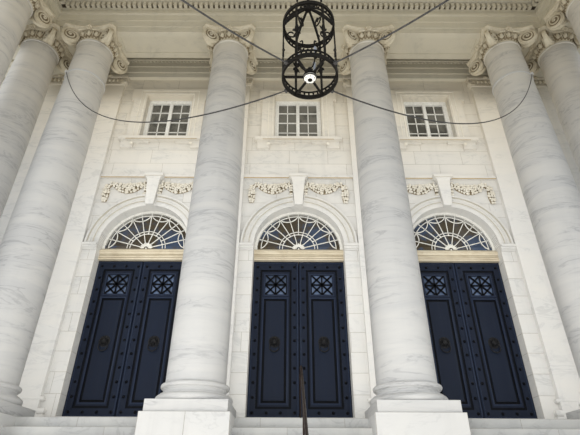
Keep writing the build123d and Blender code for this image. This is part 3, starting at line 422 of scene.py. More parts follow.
def new_group(name, takes, gives):
    """An empty shader group; takes and gives are (name, socket kind, default) rows."""
    group = bpy.data.node_groups.new(name, "ShaderNodeTree")
    for label, kind, default in takes:
        socket = group.interface.new_socket(name=label, in_out="INPUT", socket_type=kind)
        socket.default_value = default
    for label, kind in gives:
        group.interface.new_socket(name=label, in_out="OUTPUT", socket_type=kind)
    return group, add(group, "NodeGroupInput"), add(group, "NodeGroupOutput")


def vectors(tree, operation, first, second):
    return add(tree, "ShaderNodeVectorMath", {0: first, 1: second}, operation=operation).outputs[0]


def noise(tree, vector, scale, detail, rough, distortion=0.0):
    inputs = {"Vector": vector, "Scale": scale, "Detail": detail, "Roughness": rough, "Distortion": distortion}
    return add(tree, "ShaderNodeTexNoise", inputs).outputs[0]


def place_in(tree):
    """The object's own coordinates."""
    return add(tree, "ShaderNodeTexCoord").outputs["Object"]


def marble_veins():
    """Soft clouds and thin veins; Stretch squeezes the pattern along each axis."""
    group = bpy.data.node_groups.get("Marble Veins")
    if group:
        return group
    takes = [
        ("Scale", "NodeSocketFloat", 1.0),
        ("Stretch", "NodeSocketVector", EVEN),
        ("Tone", "NodeSocketFloat", 0.0),
    ]
    gives = [("Cloud", "NodeSocketFloat"), ("Vein", "NodeSocketFloat")]
    group, source, sink = new_group("Marble Veins", takes, gives)
    shift = vectors(group, "MULTIPLY", source.outputs["Tone"], (37.0, 53.0, 71.0))
    moved_on = vectors(group, "ADD", place_in(group), shift)
    squeezed = vectors(group, "MULTIPLY", moved_on, source.outputs["Stretch"])
    cloud = noise(group, squeezed, source.outputs["Scale"], 6.0, 0.6, 0.9)
    fine = maths(group, "MULTIPLY", source.outputs["Scale"], 1.7)
    line = noise(group, squeezed, fine, 5.0, 0.55, 1.6)
    away = maths(group, "ABSOLUTE", maths(group, "SUBTRACT", line, 0.5))
    vein = spread(group, away, 0.0, 0.045, 1.0, 0.0)
    patch = spread(group, cloud, 0.42, 0.62)
    group.links.new(cloud, sink.inputs["Cloud"])
    group.links.new(maths(group, "MULTIPLY", vein, patch), sink.inputs["Vein"])
    return group


def rain_streaks():
    """Faint upright streaks that water leaves on a wall."""
    group = bpy.data.node_groups.get("Rain Streaks")
    if group:
        return group
    takes = [("Scale", "NodeSocketFloat", 1.0)]
    group, source, sink = new_group("Rain Streaks", takes, [("Mask", "NodeSocketFloat")])
    squeezed = vectors(group, "MULTIPLY", place_in(group), (3.0, 3.0, 0.16))
    drops = noise(group, squeezed, source.outputs["Scale"], 4.0, 0.6)
    group.links.new(spread(group, drops, 0.5, 0.72), sink.inputs["Mask"])
    return group


def grain():
    """The fine roughness of a worked or painted surface, as a height."""
    group = bpy.data.node_groups.get("Surface Grain")
    if group:
        return group
    takes = [("Scale", "NodeSocketFloat", 40.0), ("Stretch", "NodeSocketVector", EVEN)]
    group, source, sink = new_group("Surface Grain", takes, [("Height", "NodeSocketFloat")])
    squeezed = vectors(group, "MULTIPLY", place_in(group), source.outputs["Stretch"])
    height = noise(group, squeezed, source.outputs["Scale"], 5.0, 0.65)
    group.links.new(height, sink.inputs["Height"])
    return group


def use(tree, group, inputs):
    """A group placed in a material."""
    return add(tree, "ShaderNodeGroup", inputs, node_tree=group)


def new_material(name):
    """(material, its node tree, its Principled shader)."""
    material = bpy.data.materials.new(name)
    material.use_nodes = True
    tree = material.node_tree
    return material, tree, tree.nodes["Principled BSDF"]


def set_bump(tree, shader, height, strength, distance):
    bump = add(tree, "ShaderNodeBump", {"Height": height, "Strength": strength, "Distance": distance})
    tree.links.new(bump.outputs[0], shader.inputs["Normal"])


def stone_finish(name, colour, grey, scale, stretch, veins, clouds, streaks=0.25, rough=0.55, painted_warm_light=0.0):
    """A veined stone with a tone for each cut stone and dark joints; the last argument is the share of painted warm
    light high up, a cream tint that stands in for bounce light under the eaves.
    """
    material = bpy.data.materials.get(name)
    if material:
        return material
    material, tree, shader = new_material(name)
    tone = add(tree, "ShaderNodeAttribute", attribute_name="stone_tone").outputs["Fac"]
    joint = add(tree, "ShaderNodeAttribute", attribute_name="joint").outputs["Fac"]
    figure = use(tree, marble_veins(), {"Scale": scale, "Stretch": stretch, "Tone": tone})
    cloud = spread(tree, figure.outputs["Cloud"], 0.3, 0.7)
    body = blend(tree, maths(tree, "MULTIPLY", cloud, clouds), rgba(colour), rgba(grey))
    body = blend(tree, spread(tree, tone, 0.0, 1.0, 0.0, 0.13), body, rgba(grey, 0.86))
    body = blend(tree, maths(tree, "MULTIPLY", figure.outputs["Vein"], veins), body, rgba(grey, 0.62))
    rain = use(tree, rain_streaks(), {"Scale": 0.9}).outputs["Mask"]
    body = blend(tree, maths(tree, "MULTIPLY", rain, streaks * 0.5), body, rgba(grey, 0.55))
    body = blend(tree, maths(tree, "MULTIPLY", joint, 0.6), body, (0.26, 0.225, 0.17, 1))
    # Painted warm light: cream multiplied in with height, standing in for bounce light under the eaves and the
    # ceiling.
    if painted_warm_light:
        level = add(tree, "ShaderNodeSeparateXYZ", {0: place_in(tree)}).outputs[2]
        share = spread(tree, level, 7.0, 12.6, 0.0, painted_warm_light)
        body = blend(tree, share, body, rgba(stone().painted_warm_light), "MULTIPLY")
    tree.links.new(body, shader.inputs["Base Color"])
    roughness = spread(tree, figure.outputs["Cloud"], 0.3, 0.7, rough - 0.07, rough + 0.1)
    tree.links.new(roughness, shader.inputs["Roughness"])
    height = use(tree, grain(), {"Scale": 60.0, "Stretch": EVEN}).outputs["Height"]
    set_bump(tree, shader, height, 0.25, 0.004)
    shader.inputs["Specular IOR Level"].default_value = 0.35
    return material


# Each stone: name, colour or the setting that holds it, grey, pattern scale, pattern stretch,
# then the shares of veins, clouds, streaks, the roughness and the share of painted warm light high up (a cream tint
# that stands in for bounce light under the eaves)
STONES = {
    "wall": ("Wall Marble", "marble", (0.60, 0.61, 0.61), 0.55, (1, 1, 2.6), 0.3, 0.45, 0.25, 0.55, 0.75),
    "carved": ("Carved Marble", (0.79, 0.76, 0.68), (0.63, 0.57, 0.45), 3.0, EVEN, 0.15, 0.45, 0.25, 0.55, 0.2),
    # The capitals' cream is painted warm light: a warm-lit copy of the column marble that stands in for bounce
    # light under the ceiling.
    "capital": ("Capital Marble Painted Warm Light", (0.77, 0.70, 0.545), (0.54, 0.46, 0.32), 2.6, EVEN, 0.3, 0.6),
    "column": ("Column Marble", "column", (0.55, 0.56, 0.58), 0.75, (0.55, 0.55, 3.4), 0.42, 0.5, 0.15, 0.55, 0.5),
    "pedestal": ("Pedestal Marble", (0.76, 0.755, 0.74), (0.64, 0.65, 0.66), 0.9, (1, 1, 1.6), 0.25, 0.4),
    "step": ("Step Marble", (0.70, 0.70, 0.68), (0.52, 0.53, 0.54), 0.9, EVEN, 0.3, 0.6, 0.25, 0.62),
    # A tan stone for thin strips that paint the shadow lines under the sills and the belt.
    "tan": ("Painted Shadow Tan", "tan", (0.36, 0.27, 0.15), 2.2, (1, 1, 2.0), 0.2, 0.6, 0.4),
    "head": ("Door Head Stone", (0.68, 0.61, 0.47), (0.48, 0.39, 0.26), 2.2, (1, 1, 2.0), 0.2, 0.5),
    # A greyed stone for thin strips between the archivolt's steps and under the keystone's cap: painted shadow
    # lines.
    "line": ("Painted Shadow Line", (0.57, 0.535, 0.45), (0.47, 0.43, 0.34), 2.2, EVEN, 0.1, 0.5),
    # A near-black stone that paints the shade in the deep gaps behind the porch dentils.
    "soot": ("Painted Dentil Shade", (0.16, 0.13, 0.09), (0.09, 0.075, 0.055), 3.0, EVEN, 0.1, 0.6, 0.25, 0.85),
    # A dark stone for the volutes' discs, the capitals' bells and the bands behind the garlands: painted shade of
    # their hollows.
    "ground": ("Painted Hollow Shade", (0.33, 0.27, 0.175), (0.22, 0.17, 0.10), 3.0, EVEN, 0.1, 0.6, 0.25, 0.8),
    "roof": ("Roof Stone", (0.46, 0.455, 0.44), (0.37, 0.365, 0.355), 0.9, EVEN, 0.1, 0.6, 0.25, 0.8),
    "plaster": ("Ceiling Plaster", "plaster", (0.56, 0.50, 0.38), 0.9, EVEN, 0.05, 0.5, 0.25, 0.8),
    "entablature": ("Entablature Marble", (0.72, 0.665, 0.53), (0.62, 0.585, 0.48), 0.8, (1, 1, 2.0), 0.2, 0.5),
}


def masonry(kind):
    """The finish of one of the stones."""
    name, colour, *other = STONES[kind]
    if isinstance(colour, str):
        colour = getattr(stone(), colour)
    return stone_finish(name, colour, *other)


def painted(name, colour, rough, wear, grit=0.15, gloss=0.5, stretch=EVEN):
    """A painted surface with a little dust and unevenness."""
    material = bpy.data.materials.get(name)
    if material:
        return material
    material, tree, shader = new_material(name)
    height = use(tree, grain(), {"Scale": 22.0, "Stretch": stretch}).outputs["Height"]
    dust = use(tree, rain_streaks(), {"Scale": 2.4}).outputs["Mask"]
    body = blend(tree, spread(tree, height, 0.35, 0.7), rgba(colour), rgba(colour, 1.18))
    body = blend(tree, maths(tree, "MULTIPLY", dust, 0.3), body, rgba(wear))
    tree.links.new(body, shader.inputs["Base Color"])
    tree.links.new(spread(tree, height, 0.3, 0.7, rough - 0.06, rough + 0.12), shader.inputs["Roughness"])
    set_bump(tree, shader, height, grit, 0.0015)
    shader.inputs["Specular IOR Level"].default_value = gloss
    return material


# Each paint or metal: name, colour or (setting, share), roughness, colour of its dust, and what else it needs
PAINTS = {
    "white": ("White Paint", ("paint", 1.0), 0.45, (0.45, 0.43, 0.38), {}),
    "door": (
        "Navy Door Paint", ("door", 0.8), 0.45, (0.014, 0.02, 0.034), {"gloss": 0.3, "stretch": (1, 1, 0.12)},
    ),
    "door_edge": ("Door Moulding Paint", ("door", 1.35), 0.4, (0.03, 0.04, 0.06), {"gloss": 0.4}),
    # Stud metal, also used for the painted shade in the doors' grooves.
    "stud": ("Door Stud Metal", (0.0015, 0.002, 0.004), 0.5, (0.005, 0.007, 0.011), {"gloss": 0.2}),
    "knocker": ("Knocker Metal", (0.008, 0.008, 0.009), 0.4, (0.02, 0.02, 0.022), {"gloss": 0.4}),
    "iron": ("Dark Iron", ("iron", 1.0), 0.55, (0.022, 0.018, 0.015), {"gloss": 0.25}),
    "bronze": ("Rail Bronze", (0.022, 0.012, 0.009), 0.45, (0.05, 0.035, 0.03), {"gloss": 0.35}),
    "candle": ("Candle White", (0.78, 0.76, 0.70), 0.4, (0.6, 0.58, 0.52), {}),
    "bulb": ("Frosted Bulb", (0.34, 0.37, 0.43), 0.3, (0.24, 0.26, 0.3), {"gloss": 0.6}),
}


def paint(kind):
    """The finish of one of the paints or metals."""
    name, colour, rough, wear, other = PAINTS[kind]
    if isinstance(colour[0], str):
        setting, share = colour
        colour = rgba(getattr(fitting(), setting), share)[:3]
    return painted(name, colour, rough, wear, **other)


def stay_wire():
    """Twisted steel wire, with its bands painted to match the columns."""
    material, tree, shader = new_material("Stay Wire")
    place = place_in(tree)
    inputs = {"Vector": place, "Scale": 30.0, "Distortion": 0.5}
    twist = add(tree, "ShaderNodeTexWave", inputs, bands_direction="DIAGONAL").outputs[1]
    body = blend(tree, twist, (0.03, 0.028, 0.027, 1), (0.06, 0.057, 0.055, 1))
    level = add(tree, "ShaderNodeSeparateXYZ", {0: place}).outputs[2]
    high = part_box("lantern_stays")[1][2]
    body = blend(tree, spread(tree, level, high - 0.075, high - 0.065), body, rgba(stone().column, 0.9))
    tree.links.new(body, shader.inputs["Base Color"])
    shader.inputs["Roughness"].default_value = 0.55
    set_bump(tree, shader, twist, 0.4, 0.002)
    return material


# Each glass: name, two colours whose soft patches are painted reflection (the grille's blue is painted sky
# reflection), and roughness
GLASSES = {
    "window": ("Window Glass Painted Reflection", (0.15, 0.145, 0.125), (0.07, 0.068, 0.06), 0.08),
    "fanlight": ("Fanlight Glass Painted Reflection", (0.075, 0.06, 0.04), (0.055, 0.08, 0.135), 0.1),
    "grille": ("Grille Glass Painted Sky Reflection", (0.12, 0.17, 0.28), (0.05, 0.075, 0.13), 0.2),
}


def glass(kind):
    """Window glass before a dim room: dark, its colour mixing two tones in soft patches of painted reflection, with
    a slight bump that waves its real reflections.
    """
    name, colour, other, rough = GLASSES[kind]
    material = bpy.data.materials.get(name)
    if material:
        return material
    material, tree, shader = new_material(name)
    height = use(tree, grain(), {"Scale": 1.3, "Stretch": EVEN}).outputs["Height"]
    # Painted reflection: two tones mixed in broad patches.
    body = blend(tree, spread(tree, height, 0.46, 0.6), rgba(colour), rgba(other))
    tree.links.new(body, shader.inputs["Base Color"])
    shader.inputs["Roughness"].default_value = rough
    shader.inputs["Specular IOR Level"].default_value = 0.5
    set_bump(tree, shader, height, 0.25, 0.02)
    return material


# Cut stones


def inside_room(face):
    """True for a face of the rooms' inner side, which isn't cut into stones."""
    centre = face.calc_center_median()
    low, high = ROOM
    return low[0] - 0.05 < centre.x < high[0] + 0.05 and low[1] - 0.05 < centre.y < high[1] + 0.05


BELOW_ALL, ABOVE_ALL = -1.0, 99.0


def reach_of(face, axis):
    """The lowest and highest place of a face along an axis."""
    along = [vert.co[axis] for vert in face.verts]
    return min(along), max(along)


def crosses(face, axis, at):
    low, high = reach_of(face, axis)
    return low < at < high


def cut_faces(bm, faces, point, normal):
    """Cuts faces by a plane and marks the new edges as joints."""
    edges = {edge for face in faces for edge in face.edges}
    verts = {vert for face in faces for vert in face.verts}
    geometry = list(faces) + list(edges) + list(verts)
    made = bmesh.ops.bisect_plane(bm, geom=geometry, plane_co=point, plane_no=normal, dist=0.0005)
    for part in made["geom_cut"]:
        if isinstance(part, bmesh.types.BMEdge):
            part.seam = True


def cut_stones(nodes, levels, length, joint, seed, tops=False):
    """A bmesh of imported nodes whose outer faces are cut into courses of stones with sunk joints."""
    bm = bmesh.new()
    for node in nodes:
        bm.from_mesh(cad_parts[node].data)
    bmesh.ops.remove_doubles(bm, verts=bm.verts, dist=0.0001)
    tag = bm.faces.layers.int.new("course")
    for face in bm.faces:
        upright = abs(face.normal.z) < 0.3
        level = tops and face.normal.z > 0.9
        face[tag] = int((upright or level) and not inside_room(face))
    for level in levels:
        near = [f for f in bm.faces if f[tag] and abs(f.normal.z) < 0.3 and crosses(f, 2, level)]
        if near:
            cut_faces(bm, near, (0, 0, level), (0, 0, 1))
    draw = random.Random(seed)
    bounds = [BELOW_ALL, *levels, ABOVE_ALL]
    for index, (low, high) in enumerate(zip(bounds, bounds[1:])):
        for axis in (0, 1):
            chosen = []
            for face in bm.faces:
                if not face[tag]:
                    continue
                level = face.calc_center_median().z - (0.002 if face.normal.z > 0.9 else 0)
                faces_axis = abs(face.normal[1 - axis]) > 0.7 or (face.normal.z > 0.9 and axis == 0)
                if low < level <= high and faces_axis:
                    chosen.append(face)
            if not chosen:
                continue
            first = min(reach_of(face, axis)[0] for face in chosen)
            last = max(reach_of(face, axis)[1] for face in chosen)
            at = first + length * (0.55 if index % 2 else 1.05)
            normal = Vector((1 - axis, axis, 0))
            while at < last - 0.25 * length:
                chosen = [f for f in chosen if f.is_valid]
                spans = [f for f in chosen if crosses(f, axis, at)]
                if spans:
                    before = len(bm.faces)
                    cut_faces(bm, spans, normal * at, normal)
                    bm.faces.ensure_lookup_table()
                    chosen += [bm.faces[k] for k in range(before, len(bm.faces))]
                at += length * draw.uniform(0.86, 1.14)
    spare = []
    for edge in bm.edges:
        if edge.seam or len(edge.link_faces) != 2:
            continue
        one, other = edge.link_faces
        if one[tag] and other[tag] and one.normal.dot(other.normal) > 0.9999:
            spare.append(edge)
    bmesh.ops.dissolve_edges(bm, edges=spare, use_verts=False)
    tone = bm.faces.layers.float.new("stone_tone")
    groove = bm.faces.layers.float.new("joint")
    stones = [f for f in bm.faces if f[tag]]
    for face in stones:
        face[tone] = draw.random()
    sunk = {"thickness": joint, "depth": joint * 0.8, "use_even_offset": True}
    for face in bmesh.ops.inset_individual(bm, faces=stones, **sunk)["faces"]:
        if face.is_valid:
            face[groove] = 1.0
    return bm


def course_levels(start, end, height):
    """The levels of the joints between two heights."""
    count = max(1, round((end - start) / height))
    return [start + (end - start) * i / count for i in range(1, count)]


class PORTICO_OT_walls(bpy.types.Operator):
    """Cut the walls, the podium and the frieze into marble stones"""

    bl_idname = "portico.walls"
    bl_label = "Wall Stones"

    def execute(self, context):
        course, length, joint = stone().course, stone().stone_length, stone().joint
        levels = course_levels(FLOOR, DOOR_HEAD + 0.32, course) + [SPRING]
        levels += course_levels(SPRING, BELT, course) + [BELT] + course_levels(BELT, SOFFIT, course)
        walls = {
            "front_wall_stones": ("front_piers", "front_arch_wall", "front_upper_wall"),
            "left_wall_stones": ("left_wall",),
            "right_wall_stones": ("right_wall",),
            "back_wall_stones": ("back_wall",),
        }
        for seed, (name, nodes) in enumerate(walls.items(), 11):
            bm = cut_stones(nodes, levels, length, joint, seed)
            piece(name, bm, masonry("wall"), "marble", instead_of=nodes)
        low = course_levels(GROUND, PORCH, 0.52)
        bm = cut_stones(("podium_walls",), low, 1.5, joint * 1.5, 17)
        piece("podium_stones", bm, masonry("wall"), "marble", instead_of=("podium_walls",))
        return {"FINISHED"}


class PORTICO_OT_steps(bpy.types.Operator):
    """Lay the stair, the landing and the pedestals in slabs"""

    bl_idname = "portico.steps"
    bl_label = "Steps and Pedestals"

    def execute(self, context):
        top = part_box("entrance_steps")[1][2]
        rise = (PORCH - GROUND) / RISERS
        levels = [GROUND + rise * (i + 1) for i in range(RISERS - 1)]
        under_top = [level for level in levels if level < top]
        slab, joint = 1.55, 0.003
        bm = cut_stones(("entrance_steps",), under_top, slab, joint, 23, tops=True)
        piece("entrance_step_slabs", bm, masonry("step"), "step_marble", instead_of=("entrance_steps",))
        bm = cut_stones(("porch_landing",), levels, slab, joint, 24, tops=True)
        piece("porch_landing_slabs", bm, masonry("step"), "step_marble", instead_of=("porch_landing",))
        bm = cut_stones(("pedestals",), course_levels(GROUND, PORCH, 0.65), 2.4, 0.004, 25)
        piece("pedestal_stones", bm, masonry("pedestal"), "pedestal_marble", instead_of=("pedestals",))
        return {"FINISHED"}


# Capitals

SHAFT_TOP = 0.4475  # radius of the shaft at its top
CAPITAL_HIGH = 0.34
ABACUS_HIGH = 0.085
VOLUTE_REACH = 0.685
VOLUTE_DROP = 0.28  # from the abacus's top to the volute's eye
VOLUTE_SPLAY = 13  # degrees between a volute's face and its diagonal


def abacus_outline(half, dip, clip, count=9):
    """The plan of a hollow-sided abacus with clipped corners."""
    points = []
    for turn in QUARTERS:
        for i in range(count):
            t = 2 * i / (count - 1) - 1
            points.append(turn @ Vector((half - dip * (1 - t * t), t * (half - clip), 0)))
    return points


def scroll_face(bm, place, radius, thick):
    """One face of a volute: its raised spiral and its eye; the face looks along +Y of its place."""
    points, radii = [], []
    for i in range(38):
        t = i / 37
        reach = radius * (0.86 * (1 - t) ** 0.9 + 0.13)
        spot = upright(math.radians(90 - 900 * t), reach)
        spot.y = thick + 0.035 * t
        points.append(place @ spot)
        radii.append(0.026 - 0.011 * t)
    rod(bm, points, radii, sides=5)
    egg(bm, place @ Vector((0, thick + 0.03, 0)), 0.028)


def volute_sides(turn, reach, level):
    """The places of the two faces of a diagonal volute, splayed so that they meet at its outer edge."""
    middle = turn @ Matrix.Translation((reach, 0, level))
    places = []
    for side in (-1, 1):
        splay = Matrix.Rotation(math.radians(-VOLUTE_SPLAY * side), 4, "Z")
        places.append(middle @ splay @ Matrix.Diagonal((1, side, 1, 1)))
    return places


def volute(bm, turn, reach, level, radius, thick):
    """A diagonal volute: a waisted drum with a spiral on each face."""
    drum = [
        (radius * 0.93, 0.01), (radius * 0.99, -thick * 0.75), (radius * 0.93, -thick),
        (radius * 0.6, -thick * 0.72), (POINT, -thick * 0.62),
    ]
    for place in volute_sides(turn, reach, level):
        turned(bm, (0, 0, 0), drum, sides=22, place=place @ FACING)
        scroll_face(bm, place, radius * 0.97, thick * 0.86)
        band = []
        for i in range(7):
            t = i / 6
            rise = radius * (0.96 - 0.1 * t * t)
            band.append(place @ Vector((0.06 - 0.38 * t, thick * 0.9 + 0.08 * t, rise)))
        rod(bm, band, [0.026 - 0.01 * i / 6 for i in range(7)], sides=5)


def eggs_and_darts(bm, quarter_turn, under):
    """Three eggs in their hoods and the darts between them, on one side of a capital."""
    for step in (-1, 0, 1):
        turn = quarter_turn @ Matrix.Rotation(math.radians(20 * step), 4, "Z")
        lean = (turn @ Matrix.Rotation(0.4, 4, "Y")).to_3x3()
        egg(bm, turn @ Vector((0.525, 0, under - 0.10)), (0.05, 0.052, 0.078), lean)
        hood = []
        for i in range(9):
            angle = math.pi * (i - 1) / 6
            across, up = math.cos(angle), math.sin(angle)
            hood.append(turn @ Vector((0.53 + 0.02 * across ** 2, 0.076 * across, under - 0.062 - 0.115 * up)))
        rod(bm, hood, 0.012, sides=4)
    for step in (-0.5, 0.5):
        turn = quarter_turn @ Matrix.Rotation(math.radians(20 * step), 4, "Z")
        foot, tip = Vector((0.55, 0, under - 0.03)), Vector((0.505, 0, under - 0.20))
        leaf(bm, turn @ foot, turn @ tip, 0.03, turn.to_3x3() @ Vector((0.024, 0, 0)))


def flower(bm, turn, top):
    """The flower in the middle of one side of an abacus, with leaves to both hands."""
    centre = Vector((0.60, 0, top - 0.05))
    flat = turn.to_3x3()
    egg(bm, turn @ (centre + Vector((0.045, 0, 0))), (0.03, 0.028, 0.028), flat)
    for k in range(6):
        angle = math.tau * k / 6
        way = Vector((0, math.cos(angle), math.sin(angle)))
        foot, tip = centre + way * 0.012, centre + way * 0.09
        leaf(bm, turn @ foot, turn @ tip, 0.08, flat @ Vector((0.06, 0, 0)))
    for hand in (-1, 1):
        for i in range(3):
            foot = centre + Vector((-0.01, hand * (0.085 + 0.055 * i), -0.07 - 0.012 * i))
            tip = foot + Vector((0.0, hand * 0.075, -0.03))
            leaf(bm, turn @ foot, turn @ tip, 0.05, flat @ Vector((0.03, 0, 0.006)))


def capital(bm, ground, low, top):
    """A capital: four diagonal volutes, eggs and darts, a flower on each side, a hollow-sided abacus; the bell
    above the neck goes into the second mesh, which is coloured as painted shade.
    """
    under = top - ABACUS_HIGH
    neck = [
        (-0.02, 0), (0.012, 0.004), (0.024, 0.02), (0.012, 0.038),
        (0, 0.044), (0.004, 0.06), (0.05, 0.12), (0.085, 0.19),
    ]
    body = [(SHAFT_TOP + out, low + up) for out, up in neck] + [(SHAFT_TOP + 0.08, under + 0.005)]
    turned(bm, (0, 0, 0), body[:6], sides=48)
    # The bell behind the eggs and volutes: painted shade.
    turned(ground, (0, 0, 0), body[5:], sides=48)
    levels = [
        (0.615, 0.085, 0.10, under), (0.64, 0.09, 0.10, under + 0.02), (0.665, 0.095, 0.105, under + 0.042),
        (0.70, 0.10, 0.11, under + 0.048), (0.70, 0.10, 0.11, top),
    ]
    rings = []
    for half, dip, clip, level in levels:
        rings.append([bm.verts.new((x, y, level)) for x, y, _ in abacus_outline(half, dip, clip)])
    skin(bm, rings)
    for turn, diagonal in zip(QUARTERS, DIAGONALS):
        volute(bm, diagonal, VOLUTE_REACH, top - VOLUTE_DROP, 0.225, 0.085)
        eggs_and_darts(bm, turn, under)
        flower(bm, turn, top)
    for k in range(34):
        turn = Matrix.Rotation(math.tau * k / 34, 3, "Z")
        egg(bm, turn @ Vector((0.462, 0, low + 0.068)), (0.016, 0.027, 0.014), turn, sides=5, rings=4)


def pilaster_capital(bm, top):
    """The carving on a pilaster's capital: eggs and darts, two spirals, beads and a flower."""
    out = -0.11
    for step in range(-3, 4):
        egg(bm, (step * 0.115, out - 0.035, top - 0.16), (0.042, 0.036, 0.07))
        if step < 3:
            x = step * 0.115 + 0.0575
            leaf(bm, (x, out - 0.03, top - 0.1), (x, out - 0.012, top - 0.235), 0.028, (0, -0.022, 0))
    for side in (-1, 1):
        centre = Vector((side * (PILASTER_HALF - 0.042), out - 0.042, top - 0.186))
        points, radii = [], []
        for i in range(41):
            t = i / 40
            radius = 0.108 * (1 - t) ** 0.75 + 0.012
            spot = upright(math.radians(90) - side * t * math.tau * 2.1, radius)
            spot.y = -0.006 - 0.014 * t
            points.append(centre + spot)
            radii.append(0.014 * (1 - 0.45 * t))
        rod(bm, points, radii, sides=6)
        egg(bm, centre + Vector((0, -0.014, 0)), 0.02)
    for k in range(20):
        egg(bm, (-0.418 + 0.044 * k, out - 0.026, top - 0.296), (0.016, 0.012, 0.012), sides=6, rings=4)
    egg(bm, (0, out - 0.1, top - 0.045), (0.04, 0.03, 0.04))
    heart = Vector((0, out - 0.085, top - 0.045))
    for k in range(7):
        way = upright(math.tau * k / 7)
        leaf(bm, heart + way * 0.01, heart + way * 0.07, 0.05, (0, -0.02, 0))


class PORTICO_OT_capitals(bpy.types.Operator):
    """Carve the capitals of the columns and of the pilasters"""

    bl_idname = "portico.capitals"
    bl_label = "Capital Carving"

    def execute(self, context):
        bm, painted_hollow_shades = bmesh.new(), bmesh.new()
        capital(bm, painted_hollow_shades, SOFFIT - CAPITAL_HIGH, SOFFIT)
        # Dark discs on the volutes' faces, with the bell: painted shade, so that the spirals read.
        disc = [(0.185, 0.04), (0.185, -0.076), (POINT, -0.064)]
        for diagonal in DIAGONALS:
            for spot in volute_sides(diagonal, VOLUTE_REACH, SOFFIT - VOLUTE_DROP):
                turned(painted_hollow_shades, (0, 0, 0), disc, place=spot @ FACING)
        places = [Matrix.Translation((x, y, 0)) for x, y in COLUMNS]
        piece("capital_painted_shade", repeat(painted_hollow_shades, places), masonry("ground"), "column_marble")
        marble, replaced = masonry("capital"), ("column_capitals",)
        piece("carved_capitals", repeat(bm, places), marble, "column_marble", smooth=42, instead_of=replaced)
        bm = bmesh.new()
        pilaster_capital(bm, SOFFIT)
        piece("pilaster_capital_carving", repeat(bm, PILASTERS), marble, "marble", smooth=42)
        return {"FINISHED"}


# Entablatures


def run_places(runs, pitch, level, inset=0.0):
    """Even places along straight runs, each turned so that -Y points outward."""
    places = []
    for start, end, out in runs:
        first, last, out = Vector((*start, level)), Vector((*end, level)), Vector((*out, 0))
        way = (last - first).normalized()
        first, last = first + way * inset, last - way * inset
        count = max(1, round((last - first).length / pitch))
        turn = Matrix((way, -out, Vector((0, 0, 1)))).transposed().to_4x4()
        if turn.determinant() < 0:
            turn = Matrix((-way, -out, Vector((0, 0, 1)))).transposed().to_4x4()
        for i in range(count):
            places.append(Matrix.Translation(first.lerp(last, (i + 0.5) / count)) @ turn)
    return places


def course_runs(half_width, front, back, closed_back):
    """The runs of an outer course as (start, end, outward)."""
    runs = [((-half_width, front), (half_width, front), (0, -1))]
    runs += [((side * half_width, front), (side * half_width, back), (side, 0)) for side in (-1, 1)]
    if closed_back:
        runs.append(((-half_width, back), (half_width, back), (0, 1)))
    return runs


def moved(runs, away):
    """Runs moved outward, and cut back at their ends by as much."""
    made = []
    for start, end, out in runs:
        way = (Vector(end) - Vector(start)).normalized()
        shift = Vector(out) * away
        made.append((tuple(Vector(start) + shift + way * away), tuple(Vector(end) + shift - way * away), out))
    return made


def tooth(width, deep, high):
    """One dentil, its back at Y = 0 and its foot at Z = 0."""
    bm = bmesh.new()
    block(bm, (-width / 2, -deep, 0), (width / 2, 0, high))
    return bm


def egg_and_dart(pitch, height, deep):
    """One egg with its dart, centred at Z = 0."""
    bm = bmesh.new()
    egg(bm, (0, 0, 0), (pitch * 0.33, deep, height / 2), sides=6, rings=5)
    foot, tip = (pitch / 2, 0, height * 0.45), (pitch / 2, 0, -height / 2)
    leaf(bm, foot, tip, pitch * 0.2, (0, -deep * 0.7, 0), segments=2)
    return bm


def box_between(bm, one, other):
    """A block between any two opposite corners."""
    block(bm, [min(a, b) for a, b in zip(one, other)], [max(a, b) for a, b in zip(one, other)])


class PORTICO_OT_entablature(bpy.types.Operator):
    """Set the dentils and the egg-and-dart bands of the entablatures, with a band of painted shade behind the porch
    dentils
    """

    bl_idname = "portico.entablature"
    bl_label = "Entablature Carving"

    def execute(self, context):
        inner, half = SIDE_COLUMN - BEAM_HALF, SIDE_COLUMN + BEAM_HALF
        near, far = ROW_OUTER + BEAM_HALF, ROW_INNER - BEAM_HALF
        face = 0.11  # how far the entablature stands out from the walls
        well = [
            ((-inner, far), (inner, far), (0, -1)),
            ((inner, near), (-inner, near), (0, 1)),
            ((-inner, near), (-inner, far), (1, 0)),
            ((inner, far), (inner, near), (-1, 0)),
        ]
        outer = course_runs(half, ROW_OUTER - BEAM_HALF, WALL_Y - face, False)
        walls = course_runs(HALF_WIDTH + face, WALL_Y - face, BACK_Y + face, True)
        # A dark band behind the porch dentils: painted shade of the deep gaps between the teeth.
        bm = bmesh.new()
        for start, end, out in moved(well, 0.06):
            last = Vector((*end, CEILING - 0.315)) + Vector((*out, 0)) * 0.003
            box_between(bm, (*start, CEILING - 0.465), last)
        piece("dentil_painted_shade", bm, masonry("soot"), "marble")
        marble = masonry("entablature")
        places = run_places(moved(well, 0.06), 0.14, CEILING - 0.47, inset=0.08)
        piece("porch_dentils", repeat(tooth(0.086, 0.09, 0.16), places), marble, "marble")
        bands = (
            ("cornice_dentils", tooth(0.11, 0.12, 0.146), 0.11, 0.19, CEILING + 0.012, 0),
            ("architrave_eggs", egg_and_dart(0.11, 0.06, 0.035), 0.055, 0.11, SOFFIT + 0.605, 50),
            ("cornice_eggs", egg_and_dart(0.13, 0.06, 0.03), 0.26, 0.13, CEILING + 0.215, 50),
        )
        for name, template, out, pitch, level, smooth in bands:
            places = run_places(moved(outer, out), pitch, level) + run_places(moved(walls, out), pitch, level)
            piece(name, repeat(template, places), marble, "marble", smooth=smooth)
        return {"FINISHED"}


# Bay dressings


